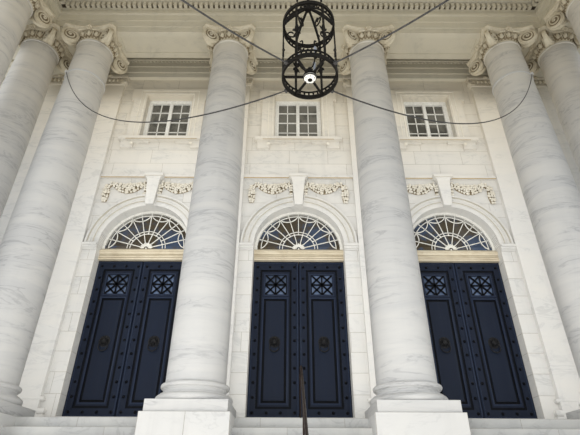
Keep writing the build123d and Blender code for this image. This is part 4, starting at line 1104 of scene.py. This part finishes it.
def garland_line():
    """The garland's middle line from the keystone outward, as (across, level, thickness)."""
    line = [(0.185, 7.95, 0.06), (0.185, 8.03, 0.09), (0.187, 8.11, 0.11)]
    line += [(0.19, 8.19, 0.12), (0.225, 8.255, 0.13)]
    for i in range(1, 14):
        t = i / 14
        level = 8.26 - 0.035 * t - 0.62 * t * (1 - t)
        line.append((0.25 + 0.76 * t, level, 0.13 + 0.185 * math.sin(math.pi * t)))
    line += [(1.01, 8.225, 0.12), (1.08, 8.225, 0.13), (1.14, 8.17, 0.14)]
    line += [(1.17, 8.11 - 0.06 * i, 0.195 - 0.005 * (i - 3) ** 2) for i in range(8)]
    return line


def garland_run(hand):
    """The places along a garland as (spot, way, thickness)."""
    line = garland_line()
    run = []
    for i, (x, z, thick) in enumerate(line):
        before, after = line[max(0, i - 1)], line[min(len(line) - 1, i + 1)]
        way = Vector((hand * (after[0] - before[0]), 0, after[1] - before[1])).normalized()
        run.append((Vector((hand * x, 0, z)), way, thick))
    return run


def garland(bm, hand):
    """A carved garland of leaves and fruit beside the keystone; hand is its side."""
    draw = random.Random(5 + hand)
    for i, (middle, way, thick) in enumerate(garland_run(hand)):
        side = Vector((way.z, 0, -way.x))
        count = max(2, round(thick / 0.066))
        for k in range(count):
            across = ((k + 0.5) / count - 0.5) * thick * 0.95
            proud = 0.03 + 0.035 * (1 - (2 * across / thick) ** 2)
            spot = middle + Vector((0, -proud, 0)) + side * across + way * draw.uniform(-0.018, 0.018)
            if (i + k) % 3:
                egg(bm, spot, draw.uniform(0.025, 0.034), sides=7, rings=5)
                continue
            for turn in (-50, 0, 50):
                swing = Matrix.Rotation(math.radians(turn + draw.uniform(-15, 15)), 3, "Y")
                aim = swing @ (way if k % 2 else -way)
                leaf(bm, spot - aim * 0.02, spot + aim * 0.065, 0.05, (0, -0.034, 0), segments=2)


def garland_shade_backing(bm, hand):
    """A dark band behind a garland: painted shade of its deep cut ground."""
    section = ((-1, 0), (-0.8, 0.014), (0.8, 0.014), (1, 0))
    rings = []
    for spot, way, thick in garland_run(hand):
        side = Vector((way.z, 0, -way.x)) * (thick * 0.46)
        rings.append([bm.verts.new(spot + side * a + Vector((0, -b, 0))) for a, b in section])
    skin(bm, rings)


def flat_bar(half, rise):
    """The section of a flat bar, for strip."""
    return [(-half, 0), (-half, rise), (half, rise), (half, 0)]


class PORTICO_OT_bays(bpy.types.Operator):
    """Carve the garlands, the keystones and the window surrounds' beads, and lay the painted shade behind the
    garlands and the painted shadow lines of the arches, the belt and the sills
    """

    bl_idname = "portico.bays"
    bl_label = "Bay Carving"

    def execute(self, context):
        carvings = (
            ("garlands", self.garlands, "carved", "marble", 50),
            ("garland_painted_shade", self.garland_painted_shade, "ground", "marble", 0),
            ("painted_shadow_lines", self.painted_shadow_lines, "tan", "tan_limestone", 0),
            ("archivolt_shadow_lines", self.archivolt_shadow_lines, "line", "marble", 0),
            ("carved_keystones", self.keystone, "wall", "marble", 0),
            ("window_beads", self.window_beads, "carved", "marble", 30),
        )
        for name, carve, kind, slot, smooth in carvings:
            bm = bmesh.new()
            carve(bm)
            replaced = ("keystones",) if name == "carved_keystones" else ()
            piece(name, repeat(bm, ALL_BAYS), masonry(kind), slot, smooth=smooth, instead_of=replaced)
        return {"FINISHED"}

    def garlands(self, bm):
        for hand in (-1, 1):
            garland(bm, hand)

    def garland_painted_shade(self, bm):
        for hand in (-1, 1):
            garland_shade_backing(bm, hand)

    def painted_shadow_lines(self, bm):
        """Painted shadow lines: thin tan bands under the window sill and under the belt."""
        level = WINDOW_LOW - 0.106
        section = [(0, 0), (0.012, 0), (0.012, 0.01), (0, 0.01)]
        strip(bm, [(-0.95, -0.165, level), (0.95, -0.165, level)], section)
        level = BELT - 0.05
        for side in (-1, 1):
            box_between(bm, (side * 0.22, -0.063, level - 0.006), (side * 1.39, -0.058, level + 0.02))

    def archivolt_shadow_lines(self, bm):
        # Thin strips between the archivolt's steps and under the keystone's cap: painted shadow lines.
        for away in (0.115, 0.24):
            for start, end in ((2, 83), (97, 178)):
                line = arc((0, -0.02 - 0.18 * away, SPRING), ARCH_RADIUS + away, start, end, 24)
                strip(bm, line, flat_bar(0.004, 0.03))
        block(bm, (-0.232, -0.198, BELT - 0.086), (0.232, -0.19, BELT - 0.076))

    def keystone(self, bm):
        """A tapered stone with a flared cap."""
        foot, top = SPRING + ARCH_RADIUS - 0.015, BELT + 0.005
        rings = []
        for level, half, out in (
            (foot, 0.088, 0.135), (foot + 0.02, 0.098, 0.14), (top - 0.20, 0.155, 0.152),
            (top - 0.185, 0.162, 0.158), (top - 0.165, 0.162, 0.158), (top - 0.14, 0.17, 0.162),
            (top - 0.105, 0.19, 0.172), (top - 0.08, 0.225, 0.188), (top - 0.08, 0.24, 0.195), (top, 0.24, 0.195),
        ):
            corners = ((-half, 0.01), (half, 0.01), (half, -out), (-half, -out))
            rings.append([bm.verts.new((x, y, level)) for x, y in corners])
        skin(bm, rings)

    def window_beads(self, bm):
        """The beads of the surround and the flowers of its brackets."""
        for grow, size in ((0.05, 0.016), (0.17, 0.012)):
            half, high = WINDOW_HALF + grow, WINDOW_HIGH + grow
            points = [(-half, WINDOW_LOW), (-half, high), (half, high), (half, WINDOW_LOW)]
            strip(bm, [(x, -0.07, z) for x, z in points], flat_bar(size, size))
        for side in (-1, 1):
            egg(bm, (side * 0.79, -0.135, WINDOW_LOW - 0.23), (0.045, 0.02, 0.045), sides=10)


# Windows


def fan(bm, bar):
    """The tracery of a fanlight: ribs, festoons, rings and a petalled hub."""
    centre = Vector((0, GLASS_Y - WALL_Y - 0.084, SPRING + 0.006))
    radius = ARCH_RADIUS - 0.075
    before = Vector((0, -0.012, 0))
    flat = flat_bar(bar / 2, 0.022)
    for i in range(1, 12):
        way = upright(math.radians(15 * i))
        strip(bm, [centre + way * radius * (0.13 if i % 2 else 0.395), centre + way * radius * 0.995], flat)
        stud = centre + way * radius * 0.395 + Vector((0, -0.02, 0))
        egg(bm, stud, (0.021, 0.018, 0.021), sides=6, rings=5)
    strip(bm, arc(centre, radius * 0.915, 0, 180, 40), flat)
    for share in (0.395, 0.465):
        strip(bm, arc(centre, radius * share, 0, 180, 30), [(a * 0.85, o) for a, o in flat])
    for i in range(6):
        points = []
        for k in range(15):
            t = k / 14
            reach = radius * (0.90 - 0.115 * math.sin(math.pi * t) ** 0.62)
            points.append(centre + upright(math.radians(30 * i + 1.5 + 27 * t), reach))
        strip(bm, points, [(a * 1.1, o) for a, o in flat])
    for i in range(9):
        way = upright(math.radians(20 * i + 10)) * radius
        foot = centre + way * 0.07 + before
        leaf(bm, foot, foot + way * 0.09, 0.05, (0, -0.024, 0))
    rod(bm, arc(centre + Vector((0, -0.02, 0)), radius * 0.06, 0, 180, 12), 0.011, sides=6)
    egg(bm, centre + before, (0.022, 0.018, 0.022))


class PORTICO_OT_windows(bpy.types.Operator):
    """Glaze the windows and the fanlights with their bars"""

    bl_idname = "portico.windows"
    bl_label = "Windows"

    def execute(self, context):
        white = paint("white")
        bm = bmesh.new()
        fan(bm, fitting().fan_bar)
        piece("fanlight_tracery", repeat(bm, ALL_BAYS), white, "white_wood", smooth=35)
        bm = bmesh.new()
        face, half = GLASS_Y - WALL_Y - 0.083, ARCH_RADIUS - 0.072
        block(bm, (-half, face, SPRING - 0.004), (half, face + 0.002, SPRING + 0.078))
        piece("fanlight_lower_glass", repeat(bm, DOOR_BAYS), glass("fanlight"), "fanlight_glass")
        bm = bmesh.new()
        self.sash_bars(bm, fitting().window_bar)
        piece("window_bars", repeat(bm, ALL_BAYS), white, "white_wood")
        bm = bmesh.new()
        self.lower_bars(bm, fitting().window_bar)
        piece("lower_window_bars", repeat(bm, WINDOW_BAYS), white, "white_wood")
        finish(white, "window_frames", "arched_frames")
        finish(glass("window"), "window_glass")
        finish(glass("fanlight"), "arched_glass")
        return {"FINISHED"}

    def sash_bars(self, bm, bar):
        """The bars of an upper window: one upright and three level ones in each half."""
        y = SASH_Y - WALL_Y
        low, high = WINDOW_LOW + SASH_FRAME, WINDOW_HIGH - SASH_FRAME
        half = WINDOW_HALF - SASH_FRAME
        for side in (-1, 1):
            x = side * half / 2
            block(bm, (x - bar / 2, y - 0.024, low), (x + bar / 2, y + 0.004, high))
            for row in (1, 2, 3):
                z = low + (high - low) * row / 4
                box_between(bm, (side * 0.03, y - 0.024, z - bar / 2), (side * half, y + 0.004, z + bar / 2))

    def lower_bars(self, bm, bar):
        """The bars of an arched lower window, with a thicker one at its spring line."""
        y = GLASS_Y - WALL_Y
        wide = ARCH_RADIUS - 0.07
        for k in range(-2, 3):
            x = wide * k / 3
            block(bm, (x - bar * 0.6, y - 0.03, LOWER_SILL + 0.05), (x + bar * 0.6, y + 0.004, SPRING))
        rows = 6
        for row in range(1, rows + 1):
            z = LOWER_SILL + (SPRING - LOWER_SILL) * row / rows
            thick = bar * (1.3 if row == rows else 0.6)
            block(bm, (-wide, y - 0.03, z - thick), (wide, y + 0.004, z + thick))


# Doors


# The lumps of the knocker's face: place from the boss's middle, radii, sides and rings
FACE = (
    ((0, -0.028, 0.004), (0.056, 0.026, 0.062), 14, 10),
    ((0, -0.044, -0.022), (0.032, 0.016, 0.022), 12, 8),
    ((0, -0.052, -0.008), (0.014, 0.009, 0.012), 8, 6),
    ((0, -0.036, -0.05), (0.022, 0.014, 0.012), 8, 6),
)
# The same for the lumps that are there on both sides
FACE_SIDES = (
    ((0.024, -0.048, 0.014), (0.012, 0.007, 0.007)),
    ((0.026, -0.046, 0.03), (0.02, 0.01, 0.009)),
    ((0.056, -0.022, 0.05), (0.018, 0.012, 0.018)),
    ((0.018, -0.052, -0.024), (0.018, 0.009, 0.014)),
)
KNOCKER_BOSS = 0.125  # from a knocker's top to the middle of its boss


def knocker(bm, centre):
    """An animal-head knocker: a maned head on a round boss, with a ring through its mouth."""
    boss = [(0.124, 0), (0.124, 0.006), (0.112, 0.012), (0.09, 0.012), (0.07, 0.018), (POINT, 0.02)]
    turned(bm, centre, boss, sides=28, place=FACING)
    mane = ((16, 0.112, 0.04, 0.016), (13, 0.088, 0.036, 0.024))
    for layer, (count, reach, width, rise) in enumerate(mane):
        for k in range(count):
            way = upright(math.tau * (k + 0.5 * layer) / count)
            foot, tip = centre + way * 0.045, centre + way * reach
            leaf(bm, foot + Vector((0, -0.014, 0)), tip + Vector((0, -0.012, 0)), width, (0, -rise, 0))
    for place, radii, sides, rings in FACE:
        egg(bm, centre + Vector(place), radii, sides=sides, rings=rings)
    for side in (-1, 1):
        for (across, out, up), radii in FACE_SIDES:
            egg(bm, centre + Vector((side * across, out, up)), radii)
    ring, radii = [], []
    for k in range(40):
        angle = math.tau * k / 40
        across, up = math.sin(angle), math.cos(angle)
        ring.append(centre + Vector((0.1 * across, -0.036 + 0.006 * up, -0.115 + 0.1 * up)))
        radii.append(0.0085 + 0.004 * (1 - up) / 2)
    rod(bm, ring, radii, sides=10, closed=True)
    egg(bm, centre + Vector((0, -0.044, -0.217)), (0.022, 0.013, 0.016), sides=10)


def corners(left, low, right, high):
    """The corners of an upright rectangle as (across, level)."""
    return [(left, low), (right, low), (right, high), (left, high)]


STUD_ROWS = 12
STUD_STEP = 0.2887
STUD_FOOT = 0.104  # from the leaf's foot to its lowest row of studs
PANEL = (0.248, 0.269, 0.80, 2.517)  # sides from the jamb, levels from the leaf's foot
SQUARE = (0.265, -0.83, 0.795, -0.315)  # sides from the jamb, levels from the leaf's top
GRILLE = (0.284, -0.813, 0.764, -0.333)


class PORTICO_OT_doors(bpy.types.Operator):
    """Stud and mould the door leaves, hang their knockers and set the door heads"""

    bl_idname = "portico.doors"
    bl_label = "Doors"

    def execute(self, context):
        for bay in ("west", "middle", "east"):
            for hand in ("left", "right"):
                self.dress(f"{bay}_door_{hand}", f"{bay}_{hand}_leaf", hand)
        self.heads()
        finish(masonry("step"), "door_sills")
        return {"FINISHED"}

    def heads(self):
        """The moulded door heads, their tops sloping back to the fanlights."""
        low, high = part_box("door_transoms")
        front, back = low[1] - WALL_Y + 0.045, high[1] - WALL_Y
        foot = 6.21
        steps = [
            (foot, 0.0), (6.252, 0.0), (6.256, 0.035), (6.266, 0.035), (6.27, 0.006), (6.302, 0.006),
            (6.306, 0.04), (6.318, 0.04), (6.322, 0.014), (6.338, 0.014), (6.342, 0.04), (6.354, 0.04),
            (6.36, 0.004), (6.42, 0.0), (6.424, -0.018), (6.446, -0.018), (6.45, 0.0),
        ]
        outline = [(y + front, z) for z, y in steps]
        outline += [(GLASS_Y - WALL_Y - 0.085, SPRING - 0.004), (back, SPRING - 0.004), (back, foot)]
        wide = ARCH_RADIUS + 0.002
        bm = bmesh.new()
        skin(bm, [[bm.verts.new((x, y, z)) for y, z in outline] for x in (-wide, wide)])
        piece("door_heads", repeat(bm, DOOR_BAYS), masonry("head"), "tan_limestone", instead_of=("door_transoms",))

    def dress(self, door, body, hand):
        """All that one leaf carries. Places on it are (across from the jamb, level)."""
        low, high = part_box(f"{door}_leaf")
        face = low[1]
        bottom, top = FLOOR + 0.012, DOOR_HEAD - 0.01
        jamb, way = (low[0], 1) if hand == "left" else (high[0], -1)

        def on_leaf(places, away=0.0):
            return [Vector((jamb + way * across, face + away, level)) for across, level in places]

        bm = bmesh.new()
        radius = fitting().stud
        dome = [(radius * a, radius * b) for a, b in ((1, 0), (0.96, 0.2), (0.72, 0.5), (0.35, 0.66))]
        first = bottom + STUD_FOOT
        spots = [(across, first + row * STUD_STEP) for row in range(STUD_ROWS) for across in (0.10, 0.955)]
        spots += [(across, first + row * STUD_STEP) for across in (0.385, 0.67) for row in (0, STUD_ROWS - 1)]
        for spot in on_leaf(spots):
            turned(bm, spot, dome + [(POINT, radius * 0.7)], sides=12, place=FACING)
        piece(f"{door}_studs", bm, paint("stud"), "door_blue", body=body, smooth=40)

        bm = bmesh.new()
        ogee = [(-0.018, 0), (-0.016, 0.006), (-0.006, 0.012), (0.006, 0.012), (0.016, 0.006), (0.018, 0)]
        bead = [(-0.012, 0), (-0.008, 0.008), (0.0, 0.011), (0.008, 0.008), (0.012, 0)]
        panel = corners(PANEL[0], bottom + PANEL[1], PANEL[2], bottom + PANEL[3])
        square = corners(SQUARE[0], top + SQUARE[1], SQUARE[2], top + SQUARE[3])
        strip(bm, on_leaf(corners(0.028, bottom + 0.03, 1.02, top - 0.03)), bead, closed=True)
        strip(bm, on_leaf(panel, 0.012), ogee, closed=True)
        strip(bm, on_leaf(square, 0.012), ogee, closed=True)
        if hand == "left":
            x = high[0] - 0.012
            lip = [(-0.03, 0), (-0.03, 0.012), (-0.012, 0.022), (0.0, 0.022), (0.0, 0)]
            strip(bm, [(x, face, bottom + 0.05), (x, face, top - 0.05)], lip)
        piece(f"{door}_mouldings", bm, paint("door_edge"), "door_blue", body=body, smooth=50)

        bm = bmesh.new()
        # A blue pane behind the grille: painted sky reflection.
        one, other = on_leaf([(0.28, top - 0.82), (0.78, top - 0.325)], 0.04)
        box_between(bm, one, other + Vector((0, 0.006, 0)))
        piece(f"{door}_grille_pane", bm, glass("grille"), "fanlight_glass", body=body)

        bm = bmesh.new()
        self.grille(bm, top, on_leaf)
        # Near-black bands over the grooves around the frame, the lower panel and the square: painted shade of the
        # deep grooves.
        groove_shade_bands = (
            ((0.181, bottom + 0.194, 0.867, top - 0.223), 0.026, 0.0115),
            ((0.29, bottom + 0.311, 0.758, bottom + 2.475), 0.026, 0.031),
            ((0.274, top - 0.823, 0.774, top - 0.323), 0.016, 0.0115),
        )
        for sides, half, away in groove_shade_bands:
            strip(bm, on_leaf(corners(*sides), away), flat_bar(half, 0.001), closed=True)
        piece(f"{door}_grille_bars_and_groove_shade", bm, paint("stud"), "door_blue", body=body)

        bm = bmesh.new()
        low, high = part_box(f"{door}_knocker")
        knocker(bm, Vector(((low[0] + high[0]) / 2, high[1], high[2] - KNOCKER_BOSS)))
        look = {"body": body, "smooth": 50, "instead_of": (f"{door}_knocker",)}
        piece(f"{door}_maned_knocker", bm, paint("knocker"), "knocker_black", **look)
        finish(paint("door"), f"{door}_leaf")

    def grille(self, bm, top, on_leaf):
        """The bars of the pierced square: a cross, and a slanted cross in each quarter."""
        left, low, right, high = GRILLE[0], top + GRILLE[1], GRILLE[2], top + GRILLE[3]
        across, up = (left + right) / 2, (low + high) / 2
        lines = [((across, low), (across, high), 0.034), ((left, up), (right, up), 0.034)]
        for x in ((left + across) / 2, (across + right) / 2):
            for z in ((low + up) / 2, (up + high) / 2):
                for tilt in (-1, 1):
                    lines.append(((x - 0.12, z - 0.12 * tilt), (x + 0.12, z + 0.12 * tilt), 0.04))
        for start, end, wide in lines:
            strip(bm, on_leaf((start, end), 0.013), flat_bar(wide / 2, 0.006))


# Lantern


LANTERN_FOOT, LANTERN_HEAD = 5.42, 6.30  # levels of the cage's two hoops
LANTERN_SIDES = 6
ARM_REACH = 0.12


def at_level(z):
    return Vector((0, 0, z))


class PORTICO_OT_lantern(bpy.types.Operator):
    """Forge the hanging lantern's galleries, scrolls, leaves and pendant"""

    bl_idname = "portico.lantern"
    bl_label = "Lantern"

    def execute(self, context):
        low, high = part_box("lantern_cage")
        centre = Vector(((low[0] + high[0]) / 2, (low[1] + high[1]) / 2, 0))
        radius = (high[0] - low[0]) / 2
        hub = centre + at_level(LANTERN_FOOT)
        bm = bmesh.new()
        self.gallery(bm, centre, radius - 0.014, LANTERN_FOOT + 0.075, -0.026)
        self.gallery(bm, centre, radius - 0.014, LANTERN_HEAD - 0.09, 0.028)
        for k in range(LANTERN_SIDES):
            self.side(bm, centre, radius - 0.02, math.tau * k / LANTERN_SIDES)
        self.pendant(bm, hub)
        piece("lantern_ironwork", bm, paint("iron"), "dark_iron", smooth=45)
        bm = bmesh.new()
        bowl = [(POINT, -0.048), (0.03, -0.046), (0.06, -0.034), (0.073, -0.012), (0.07, 0.0)]
        turned(bm, hub, bowl)
        piece("lantern_lamp_bowl", bm, paint("candle"), "candle_white", smooth=60)
        finish(paint("iron"), "lantern_cage", "lantern_rod")
        bm = bmesh.new()
        bulb = [
            (POINT, 0), (0.013, 0.004), (0.014, 0.09), (0.011, 0.1), (0.019, 0.125), (0.015, 0.155), (POINT, 0.185),
        ]
        for angle in self.arm_angles():
            turned(bm, centre + level_point(angle, ARM_REACH) + at_level(LANTERN_FOOT + 0.20), bulb, sides=14)
        piece("lantern_bulbs", bm, paint("bulb"), "candle_white", smooth=50, instead_of=("lantern_candles",))
        finish(stay_wire(), "lantern_stays")
        return {"FINISHED"}

    def arm_angles(self):
        return [math.radians(60 + 120 * k) for k in range(3)]

    def gallery(self, bm, centre, radius, level, lift):
        """A thin hoop with a row of beads above or below it."""
        hoop = arc(centre + at_level(level), radius, 0, 360, 48, level_point)[:-1]
        rod(bm, hoop, 0.011, sides=6, closed=True)
        for k in range(36):
            spot = centre + level_point(math.tau * k / 36, radius)
            egg(bm, spot + at_level(level + lift), 0.013, sides=6, rings=5)

    def side(self, bm, centre, wall, angle):
        """One side of the cage: a scroll at its head, crossed leaves in its middle and a crest."""
        turn = Matrix.Rotation(angle, 4, "Z")
        out = level_point(angle)
        head, mid = LANTERN_HEAD, (LANTERN_FOOT + LANTERN_HEAD) / 2

        def at(reach, z):
            return centre + (turn @ Vector((reach, 0, z)))

        scroll = []
        for i in range(22):
            t = i / 21
            bend = math.radians(-80 + 420 * t)
            size = 0.075 * (1 - 0.72 * t)
            scroll.append(at(wall - 0.085 - size * math.cos(bend), head - 0.16 - size * math.sin(bend)))
        rod(bm, scroll, 0.009, sides=6)
        hanger = [at(wall, head - 0.02), at(wall - 0.01, head - 0.10), at(wall - 0.03, head - 0.16)]
        rod(bm, hanger, 0.009, sides=6)
        for up in (-1, 1):
            leaf(bm, at(wall, mid), at(wall + 0.012, mid + up * 0.12), 0.05, out * 0.012)
            for hand in (-1, 1):
                across = Vector((-out.y, out.x, 0)) * hand
                leaf(bm, at(wall, mid), at(wall, mid + up * 0.07) + across * 0.045, 0.035, out * 0.012)
        egg(bm, at(wall + 0.004, mid), 0.018)
        crest = [at(wall - 0.01 - 0.02 * math.sin(math.pi * i / 8), head + 0.02 + 0.011 * i) for i in range(9)]
        rod(bm, crest, [0.012 - 0.001 * i for i in range(9)], sides=6)
        egg(bm, at(wall - 0.01, head + 0.115), (0.014, 0.014, 0.02))

    def pendant(self, bm, hub):
        """The turned foot in the middle, with three candle arms and a ring of drops."""
        foot = [
            (POINT, -0.022), (0.035, -0.02), (0.066, -0.008), (0.075, 0.01), (0.06, 0.03), (0.03, 0.05),
            (0.024, 0.09), (0.034, 0.11), (0.02, 0.14), (POINT, 0.15),
        ]
        cup = [(POINT, 0), (0.02, 0.004), (0.024, 0.018), (0.016, 0.02)]
        turned(bm, hub, foot)
        for angle in self.arm_angles():
            way = level_point(angle)
            arm = []
            for i in range(9):
                t = i / 8
                rise = 0.12 + 0.09 * t * t - 0.02 * math.sin(math.pi * t)
                arm.append(hub + way * (0.03 + 0.09 * t) + at_level(rise))
            rod(bm, arm, 0.008, sides=6)
            turned(bm, hub + way * ARM_REACH + at_level(0.185), cup, sides=14)
        turned(bm, hub + at_level(-0.052), [(POINT, 0), (0.022, 0), (0.026, 0.004), (0.026, 0.02)], sides=18)
        for k in range(6):
            drop = level_point(math.radians(60 * k + 30), 0.052)
            egg(bm, hub + drop + at_level(-0.04), 0.006, sides=6)


class PORTICO_OT_rail(bpy.types.Operator):
    """Finish the handrail with its collars"""

    bl_idname = "portico.rail"
    bl_label = "Handrail"

    def execute(self, context):
        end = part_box("handrail")[1]
        y = end[1] - 0.022
        bm = bmesh.new()
        collar = [(0.022, -0.06), (0.026, -0.05), (0.026, -0.03), (0.022, -0.02)]
        turned(bm, (0, y, end[2] - 0.02), collar, sides=16)
        turned(bm, (0, y, PORCH), [(0.021, 0), (0.021, 0.012), (0.018, 0.03)], sides=20)
        piece("handrail_collars", bm, paint("bronze"), "dark_bronze", smooth=40)
        finish(paint("bronze"), "handrail")
        return {"FINISHED"}


class PORTICO_OT_finishes(bpy.types.Operator):
    """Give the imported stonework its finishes"""

    bl_idname = "portico.finishes"
    bl_label = "Stone Finishes"

    def execute(self, context):
        nodes = {
            "column": ("column_shafts", "column_bases", "column_capitals"),
            "wall": (
                "front_pilasters", "side_pilasters", "back_pilasters", "archivolts", "window_surrounds",
                "belt_course", "main_parapet", "portico_parapet",
            ),
            "entablature": ("main_entablature", "portico_entablature"),
            "roof": ("main_roof", "portico_roof"),
            "plaster": ("portico_ceiling",),
            "step": ("ground_floor", "upper_floor"),
        }
        for kind, names in nodes.items():
            finish(masonry(kind), *names)
        return {"FINISHED"}


# Stage


# Each lamp: name, kind, place, target, size (a sun's angle), second side or 0, power, colour
LAMPS = (
    ("key_lamp", "SUN", (-17, -24, 19), (0, -1, 6.5), 0.5, 0, 0.85, (1.0, 0.985, 0.96)),
    ("porch_lamp", "AREA", (-1.0, -8.2, 1.6), (0, -3.9, 13.0), 4.5, 0, 190, (1.0, 0.99, 0.97)),
    ("wall_fill", "AREA", (0, ROW_INNER + 0.8, 6.9), (0, WALL_Y, 6.9), 13.5, 8.5, 200, (1.0, 0.995, 0.98)),
    ("ceiling_fill", "AREA", (0, -6.2, 2.2), (0, -6.19, 12), 12.0, 7.5, 250, (1.0, 0.96, 0.89)),
)
FOCAL_PIXELS, PHOTO_WIDTH, SENSOR = 457, 580, 36
CAMERA_PLACE = (-0.21, WALL_Y - 9.55, 1.55)
CAMERA_PITCH, CAMERA_ROLL = 30.95, 0.27


class PORTICO_OT_stage(bpy.types.Operator):
    """Lay the floor and set the lights and the camera"""

    bl_idname = "portico.stage"
    bl_label = "Studio"

    def execute(self, context):
        scene = context.scene
        scene.view_settings.view_transform = "Standard"
        self.floor()
        self.sky(scene)
        for row in LAMPS:
            self.lamp(scene, *row)
        self.camera(scene)
        return {"FINISHED"}

    def floor(self):
        bm = bmesh.new()
        for vert in bmesh.ops.create_circle(bm, cap_ends=True, segments=96, radius=160)["verts"]:
            vert.co.z = GROUND - 0.002
        material, tree, shader = new_material("Studio Floor")
        height = use(tree, grain(), {"Scale": 0.5, "Stretch": EVEN}).outputs["Height"]
        body = blend(tree, height, (0.69, 0.69, 0.68, 1), (0.72, 0.72, 0.71, 1))
        tree.links.new(body, shader.inputs["Base Color"])
        shader.inputs["Roughness"].default_value = 0.9
        floor = new_object("studio_floor", bm, material)

    def sky(self, scene):
        """A pale sky that is a little brighter where the camera and reflections see it."""
        world = bpy.data.worlds.new("Studio")
        world.use_nodes = True
        scene.world = world
        tree = world.node_tree
        light = tree.nodes["Background"]
        light.inputs["Color"].default_value = (0.90, 0.95, 1.0, 1)
        light.inputs["Strength"].default_value = 0.82
        seen = add(tree, "ShaderNodeBackground", {"Color": (0.80, 0.86, 0.93, 1), "Strength": 1.0})
        rays = add(tree, "ShaderNodeLightPath")
        either = maths(tree, "MAXIMUM", rays.outputs["Is Camera Ray"], rays.outputs["Is Glossy Ray"])
        either = maths(tree, "MAXIMUM", either, rays.outputs["Is Transmission Ray"])
        mix = add(tree, "ShaderNodeMixShader", {0: either, 1: light.outputs[0], 2: seen.outputs[0]})
        tree.links.new(mix.outputs[0], tree.nodes["World Output"].inputs["Surface"])

    def lamp(self, scene, name, kind, place, target, size, height, power, colour):
        """A soft lamp that the camera and reflections don't show."""
        light = bpy.data.lights.new(name, kind)
        if kind == "SUN":
            light.angle = size
        else:
            light.shape = "RECTANGLE" if height else "DISK"
            light.size = size
            if height:
                light.size_y = height
        light.energy = power
        light.color = colour
        made = bpy.data.objects.new(name, light)
        aim = (Vector(target) - Vector(place)).to_track_quat("-Z", "Y")
        made.matrix_world = Matrix.Translation(place) @ aim.to_matrix().to_4x4()
        made.visible_camera = False
        made.visible_glossy = False
        scene.collection.objects.link(made)

    def camera(self, scene):
        lens = bpy.data.cameras.new("camera")
        lens.lens = FOCAL_PIXELS / PHOTO_WIDTH * SENSOR
        lens.sensor_width = SENSOR
        lens.clip_end = 400
        made = bpy.data.objects.new("camera", lens)
        turn = Matrix.Rotation(math.radians(90 + CAMERA_PITCH), 4, "X")
        turn = turn @ Matrix.Rotation(math.radians(CAMERA_ROLL), 4, "Z")
        made.matrix_world = Matrix.Translation(CAMERA_PLACE) @ turn
        scene.collection.objects.link(made)
        scene.camera = made


OPERATORS = (
    PORTICO_OT_finishes,
    PORTICO_OT_walls,
    PORTICO_OT_steps,
    PORTICO_OT_capitals,
    PORTICO_OT_entablature,
    PORTICO_OT_bays,
    PORTICO_OT_windows,
    PORTICO_OT_doors,
    PORTICO_OT_lantern,
    PORTICO_OT_rail,
    PORTICO_OT_stage,
)


class PORTICO_PT_panel(bpy.types.Panel):
    """The pieces of the building"""

    bl_idname = "PORTICO_PT_panel"
    bl_label = "Marble Portico"
    bl_space_type = "VIEW_3D"
    bl_region_type = "UI"
    bl_category = "Portico"

    def draw(self, context):
        for group in (context.scene.portico_stone, context.scene.portico_fitting):
            box = self.layout.box()
            for name in group.bl_rna.properties.keys():
                if name not in {"rna_type", "name"}:
                    box.prop(group, name)
        for operator in OPERATORS:
            self.layout.operator(operator.bl_idname)


CLASSES = (StoneSettings, FittingSettings, *OPERATORS, PORTICO_PT_panel)


def register():
    for made in CLASSES:
        bpy.utils.register_class(made)
    bpy.types.Scene.portico_stone = bpy.props.PointerProperty(type=StoneSettings)
    bpy.types.Scene.portico_fitting = bpy.props.PointerProperty(type=FittingSettings)


def unregister():
    del bpy.types.Scene.portico_stone
    del bpy.types.Scene.portico_fitting
    for made in reversed(CLASSES):
        bpy.utils.unregister_class(made)


def main():
    register()
    for operator in OPERATORS:
        group, name = operator.bl_idname.split(".")
        getattr(getattr(bpy.ops, group), name)()


if __name__ == "__main__":
    main()
